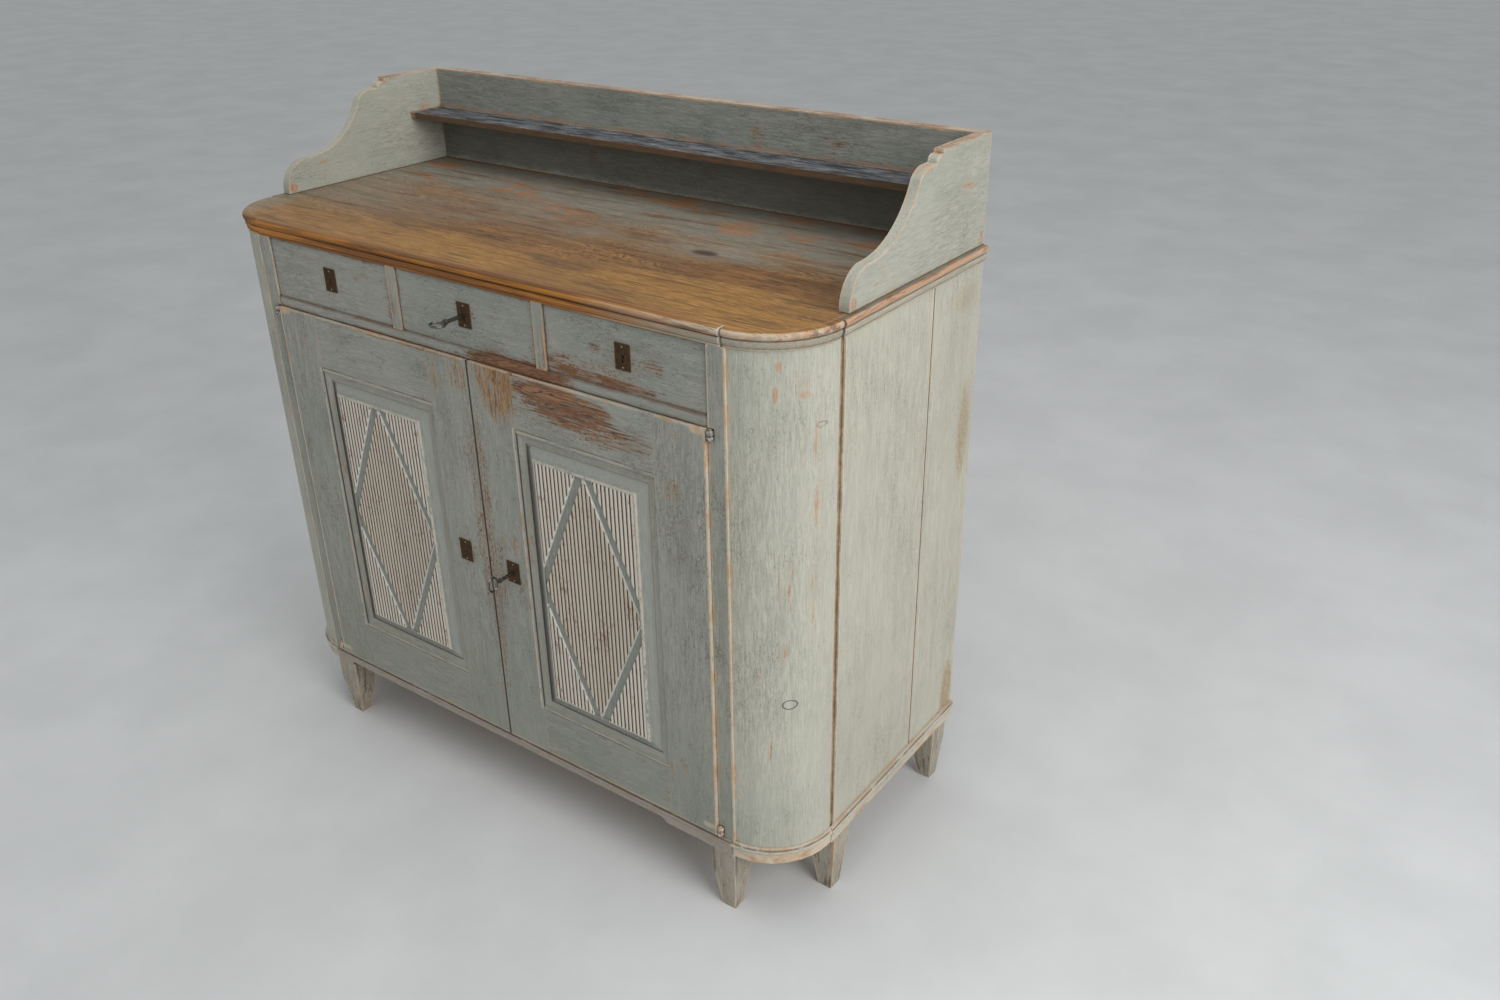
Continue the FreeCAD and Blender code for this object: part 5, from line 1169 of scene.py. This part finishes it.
# %% Finishes on the frame
FINISH_OF = {
    stile_paint: ["right_front_stile", "left_front_stile"],
    divider_paint: ["drawer_dividers"],
    drawer_paint: ["drawer_rail", "left_drawer_front", "centre_drawer_front", "right_drawer_front"],
    door_upright: ["right_door_stiles", "left_door_stiles"],
    door_level: ["right_door_rails", "left_door_rails"],
    column_paint: ["right_quarter_column", "left_quarter_column"],
    side_paint: ["right_side_boards", "left_side_boards"],
    gallery_paint: ["right_gallery_side", "left_gallery_side"],
    gallery_back_paint: ["gallery_back_board"],
    foot_paint: ["feet"],
    plinth_paint: ["plinth_front_moulding"],
    plinth_end_paint: ["plinth_corner_mouldings", "plinth_side_mouldings"],
    counter_top: ["counter_boards"],
    counter_edge: ["counter_front_moulding", "counter_corner_mouldings"],
    counter_end: ["counter_side_mouldings"],
    shelf_paint: ["gallery_shelf"],
    panel_paint["left"]: ["left_door_panel"],
    panel_paint["right"]: ["right_door_panel"],
    plate_iron: ["left_drawer_lock", "centre_drawer_lock", "right_drawer_lock"],
    key_steel: ["drawer_key", "door_key"],
    hinge_paint: ["hinge_pintles", "left_door_hinge_eyes", "right_door_hinge_eyes"],
    pine_along["x"]: ["drawer_deck", "cupboard_floor", "cupboard_shelf", "door_stop",
                      "left_drawer_bottom", "centre_drawer_bottom", "right_drawer_bottom"],
    pine_along["y"]: ["drawer_guides", "foot_bearers", "shelf_bearers",
                      "left_drawer_box", "centre_drawer_box", "right_drawer_box"],
    back_pine: ["back_boards"],
}
dressed = {name: finish for finish, names in FINISH_OF.items() for name in names}
for name, node in nodes.items():
    finish = dressed.get(name, black_iron)
    node.data.materials.clear()
    node.data.materials.append(finish)
print("iron pieces:", sorted(set(nodes) - set(dressed)))

# %% [markdown]
# ## Hinges
#
# Each door hangs on two pintles: an iron pin on a spike driven into the stile, and an eye on a tang in the
# door's edge that drops over it. Both heads were rounded with a hammer, and paint made them rounder, so plain
# drums look wrong. A Screw modifier could spin a profile, but it leaves seams to be merged. Here a disc is
# pulled up ring by ring, each ring scaled to its own radius, which keeps the piece one closed skin. The eye
# is the same with an open ring, closed on itself.


# %% Turned pieces
def finish_mesh():
    """Merges doubles, turns the faces outward, applies the place and smooths the round faces."""
    bpy.ops.mesh.select_all(action="SELECT")
    bpy.ops.mesh.remove_doubles(threshold=0.00001)
    bpy.ops.mesh.normals_make_consistent(inside=False)
    bpy.ops.object.mode_set(mode="OBJECT")
    bpy.ops.object.transform_apply(location=True, rotation=True, scale=True)
    bpy.ops.object.shade_smooth_by_angle(angle=math.radians(40))


def turned(name, foot, profile, along=(0, 0, 1), bored=False, sides=24):
    """A round piece pulled ring by ring along its axis; the profile lists (rise, radius)."""
    along = Vector(along)
    bpy.ops.object.select_all(action="DESELECT")
    bpy.ops.mesh.primitive_circle_add(
        vertices=sides, radius=profile[0][1], fill_type="NOTHING" if bored else "NGON", location=foot,
        rotation=along.to_track_quat("Z", "Y").to_euler())
    piece = bpy.context.object
    piece.name = name
    bpy.ops.object.mode_set(mode="EDIT")
    bpy.ops.mesh.select_all(action="SELECT")
    at, radius = Vector(foot), profile[0][1]
    for rise, ring in profile[1:]:
        bpy.ops.mesh.extrude_region_move(TRANSFORM_OT_translate={"value": along * rise})
        at += along * rise
        bpy.ops.transform.resize(value=[ring / radius] * 3, center_override=at)
        radius = ring
    finish_mesh()
    return piece


# %% Bars
BAR_EASE = 0.0004


def bar(name, low, high):
    """A square bar between two corners, with its edges eased."""
    low, high = Vector(low), Vector(high)
    bpy.ops.object.select_all(action="DESELECT")
    bpy.ops.mesh.primitive_cube_add(size=1, location=(low + high) / 2, scale=high - low)
    piece = bpy.context.object
    piece.name = name
    bpy.ops.object.transform_apply(location=False, rotation=False, scale=True)
    bpy.ops.object.mode_set(mode="EDIT")
    bpy.ops.mesh.select_all(action="SELECT")
    bpy.ops.mesh.bevel(offset=BAR_EASE, segments=2)
    finish_mesh()
    return piece


# %% Joining and copying
def pick(*pieces):
    """Selects these pieces only, the first of them active."""
    bpy.ops.object.select_all(action="DESELECT")
    for piece in pieces:
        piece.select_set(True)
    bpy.context.view_layer.objects.active = pieces[0]


def joined(name, pieces):
    """Several meshes made one piece, which is the first of them."""
    pick(*pieces)
    bpy.ops.object.join()
    pieces[0].name = name
    return pieces[0]


def copied(piece, shift=(0, 0, 0), mirror=False):
    """A copy with its own mesh, moved, or mirrored across the middle of the cupboard."""
    pick(piece)
    bpy.ops.object.duplicate()
    twin = bpy.context.object
    if mirror:
        bpy.ops.transform.mirror(constraint_axis=(True, False, False), center_override=(0, 0, 0))
    bpy.ops.transform.translate(value=shift)
    bpy.ops.object.transform_apply(location=True, rotation=True, scale=True)
    if mirror:
        bpy.ops.object.mode_set(mode="EDIT")
        bpy.ops.mesh.select_all(action="SELECT")
        bpy.ops.mesh.normals_make_consistent(inside=False)
        bpy.ops.object.mode_set(mode="OBJECT")
    return twin


# %% Dressing a new piece
def dress(piece, finish, body, *stands_for):
    """Gives a piece its finish and its body, and hides the nodes that it stands for."""
    piece.data.materials.clear()
    piece.data.materials.append(finish)
    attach(piece, body)
    if stands_for:
        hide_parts(*stands_for)
    print(piece.name, "on", body, "faces:", len(piece.data.polygons))


# %% One pintle and one eye
HINGE_X, HINGE_Y = 0.460, -0.2335
KNUCKLE, SEAT_GAP, PIN_RADIUS, BORE_PLAY = 0.008, 0.0003, 0.0026, 0.00005
SPIKE_TIP, SPIKE_HALF_WIDTH = -0.2105, 0.002
TANG_END, TANG_START, TANG_THICKNESS = 0.4285, 0.4565, 0.003


def pintle(foot):
    """A rounded head, its pin with a domed tip, and the spike into the stile."""
    head = turned("head", (HINGE_X, HINGE_Y, foot), [
        (0, 0.0030), (0.0006, 0.0044), (0.0014, 0.0053), (0.0020, 0.0055), (0.0022, 0.0053), (0.0012, 0.0044),
        (0.0006, PIN_RADIUS), (KNUCKLE + SEAT_GAP, PIN_RADIUS), (0.0014, PIN_RADIUS), (0.0006, 0.0018),
        (0.0002, 0.0008)])
    spike = bar("spike", (HINGE_X - SPIKE_HALF_WIDTH, HINGE_Y, foot + 0.001),
                (HINGE_X + SPIKE_HALF_WIDTH, SPIKE_TIP, foot + 0.007))
    return joined("pintle", [head, spike])


def eye_on_tang(foot):
    """A rounded ring round the pin, on a flat tang into the door."""
    low = foot + KNUCKLE + SEAT_GAP
    bore = PIN_RADIUS + BORE_PLAY
    ring = turned("ring", (HINGE_X, HINGE_Y, low), [
        (0, bore), (0, 0.0042), (0.0010, 0.0052), (0.0018, 0.0055), (0.0024, 0.0055), (0.0018, 0.0052),
        (0.0010, 0.0042), (0, bore), (-KNUCKLE, bore)], bored=True)
    tang = bar("tang", (TANG_END, HINGE_Y, low + 0.0002),
               (TANG_START, HINGE_Y + TANG_THICKNESS, low + KNUCKLE - 0.0002))
    return joined("eye", [ring, tang])


# %% [markdown]
# One pintle and one eye are made at the foot of the right door, then copied up the door and mirrored to the
# other. An Array and a Mirror modifier would do the same, but each door has to carry its own rings, so real
# copies are simpler to hand to their bodies.

# %% Four hinges
HINGE_FEET = (0.156, 0.838)
hinge_rise = HINGE_FEET[1] - HINGE_FEET[0]
low_pintle = pintle(HINGE_FEET[0])
pintle_pair = joined("pintle_pair", [low_pintle, copied(low_pintle, (0, 0, hinge_rise))])
pintles = joined("hinge_pins_and_spikes", [pintle_pair, copied(pintle_pair, mirror=True)])
low_eye = eye_on_tang(HINGE_FEET[0])
right_eyes = joined("right_hinge_rings", [low_eye, copied(low_eye, (0, 0, hinge_rise))])
left_eyes = copied(right_eyes, mirror=True)
left_eyes.name = "left_hinge_rings"
dress(pintles, hinge_paint, "carcass", "hinge_pintles")
dress(right_eyes, hinge_paint, "right_door", "right_door_hinge_eyes")
dress(left_eyes, hinge_paint, "left_door", "left_door_hinge_eyes")

# %% [markdown]
# ## Pins of the lock plates
#
# Every plate is held by two little iron pins with hammered heads, one above and one below the keyhole. They
# catch the light as bright specks. A bump could fake them, but a real head keeps its shine from every side.

# %% Plate pins
PIN_PROFILE = [(0, 0.0015), (0.00025, 0.0014), (0.00030, 0.0010), (0.00015, 0.0004)]
PIN_DROPS = (0.0150, -0.0155)
PIN_TONES = ((0.060, 0.045, 0.034), (0.100, 0.045, 0.020), (0.380, 0.330, 0.280))
PLATES = {side + "_drawer": (side + "_drawer_lock", across, KEYHOLE_HEIGHT)
          for side, (across, _) in zip(("left", "centre", "right"), KEYHOLES)}
PLATES["right_door"] = ("right_door_lock", 0.054, 0.5015)
PLATES["left_door"] = ("left_door_plate", -0.054, 0.509)
pin_steel = iron_finish("plate pins", PIN_TONES, 0.42, 0.3, 0.5)
for body, (lock, across, middle) in PLATES.items():
    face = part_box(lock)[0].y
    pins = [turned("pin", (across, face, middle + drop), PIN_PROFILE, (0, -1, 0), sides=12)
            for drop in PIN_DROPS]
    dress(joined(body + "_plate_pins", pins), pin_steel, body)
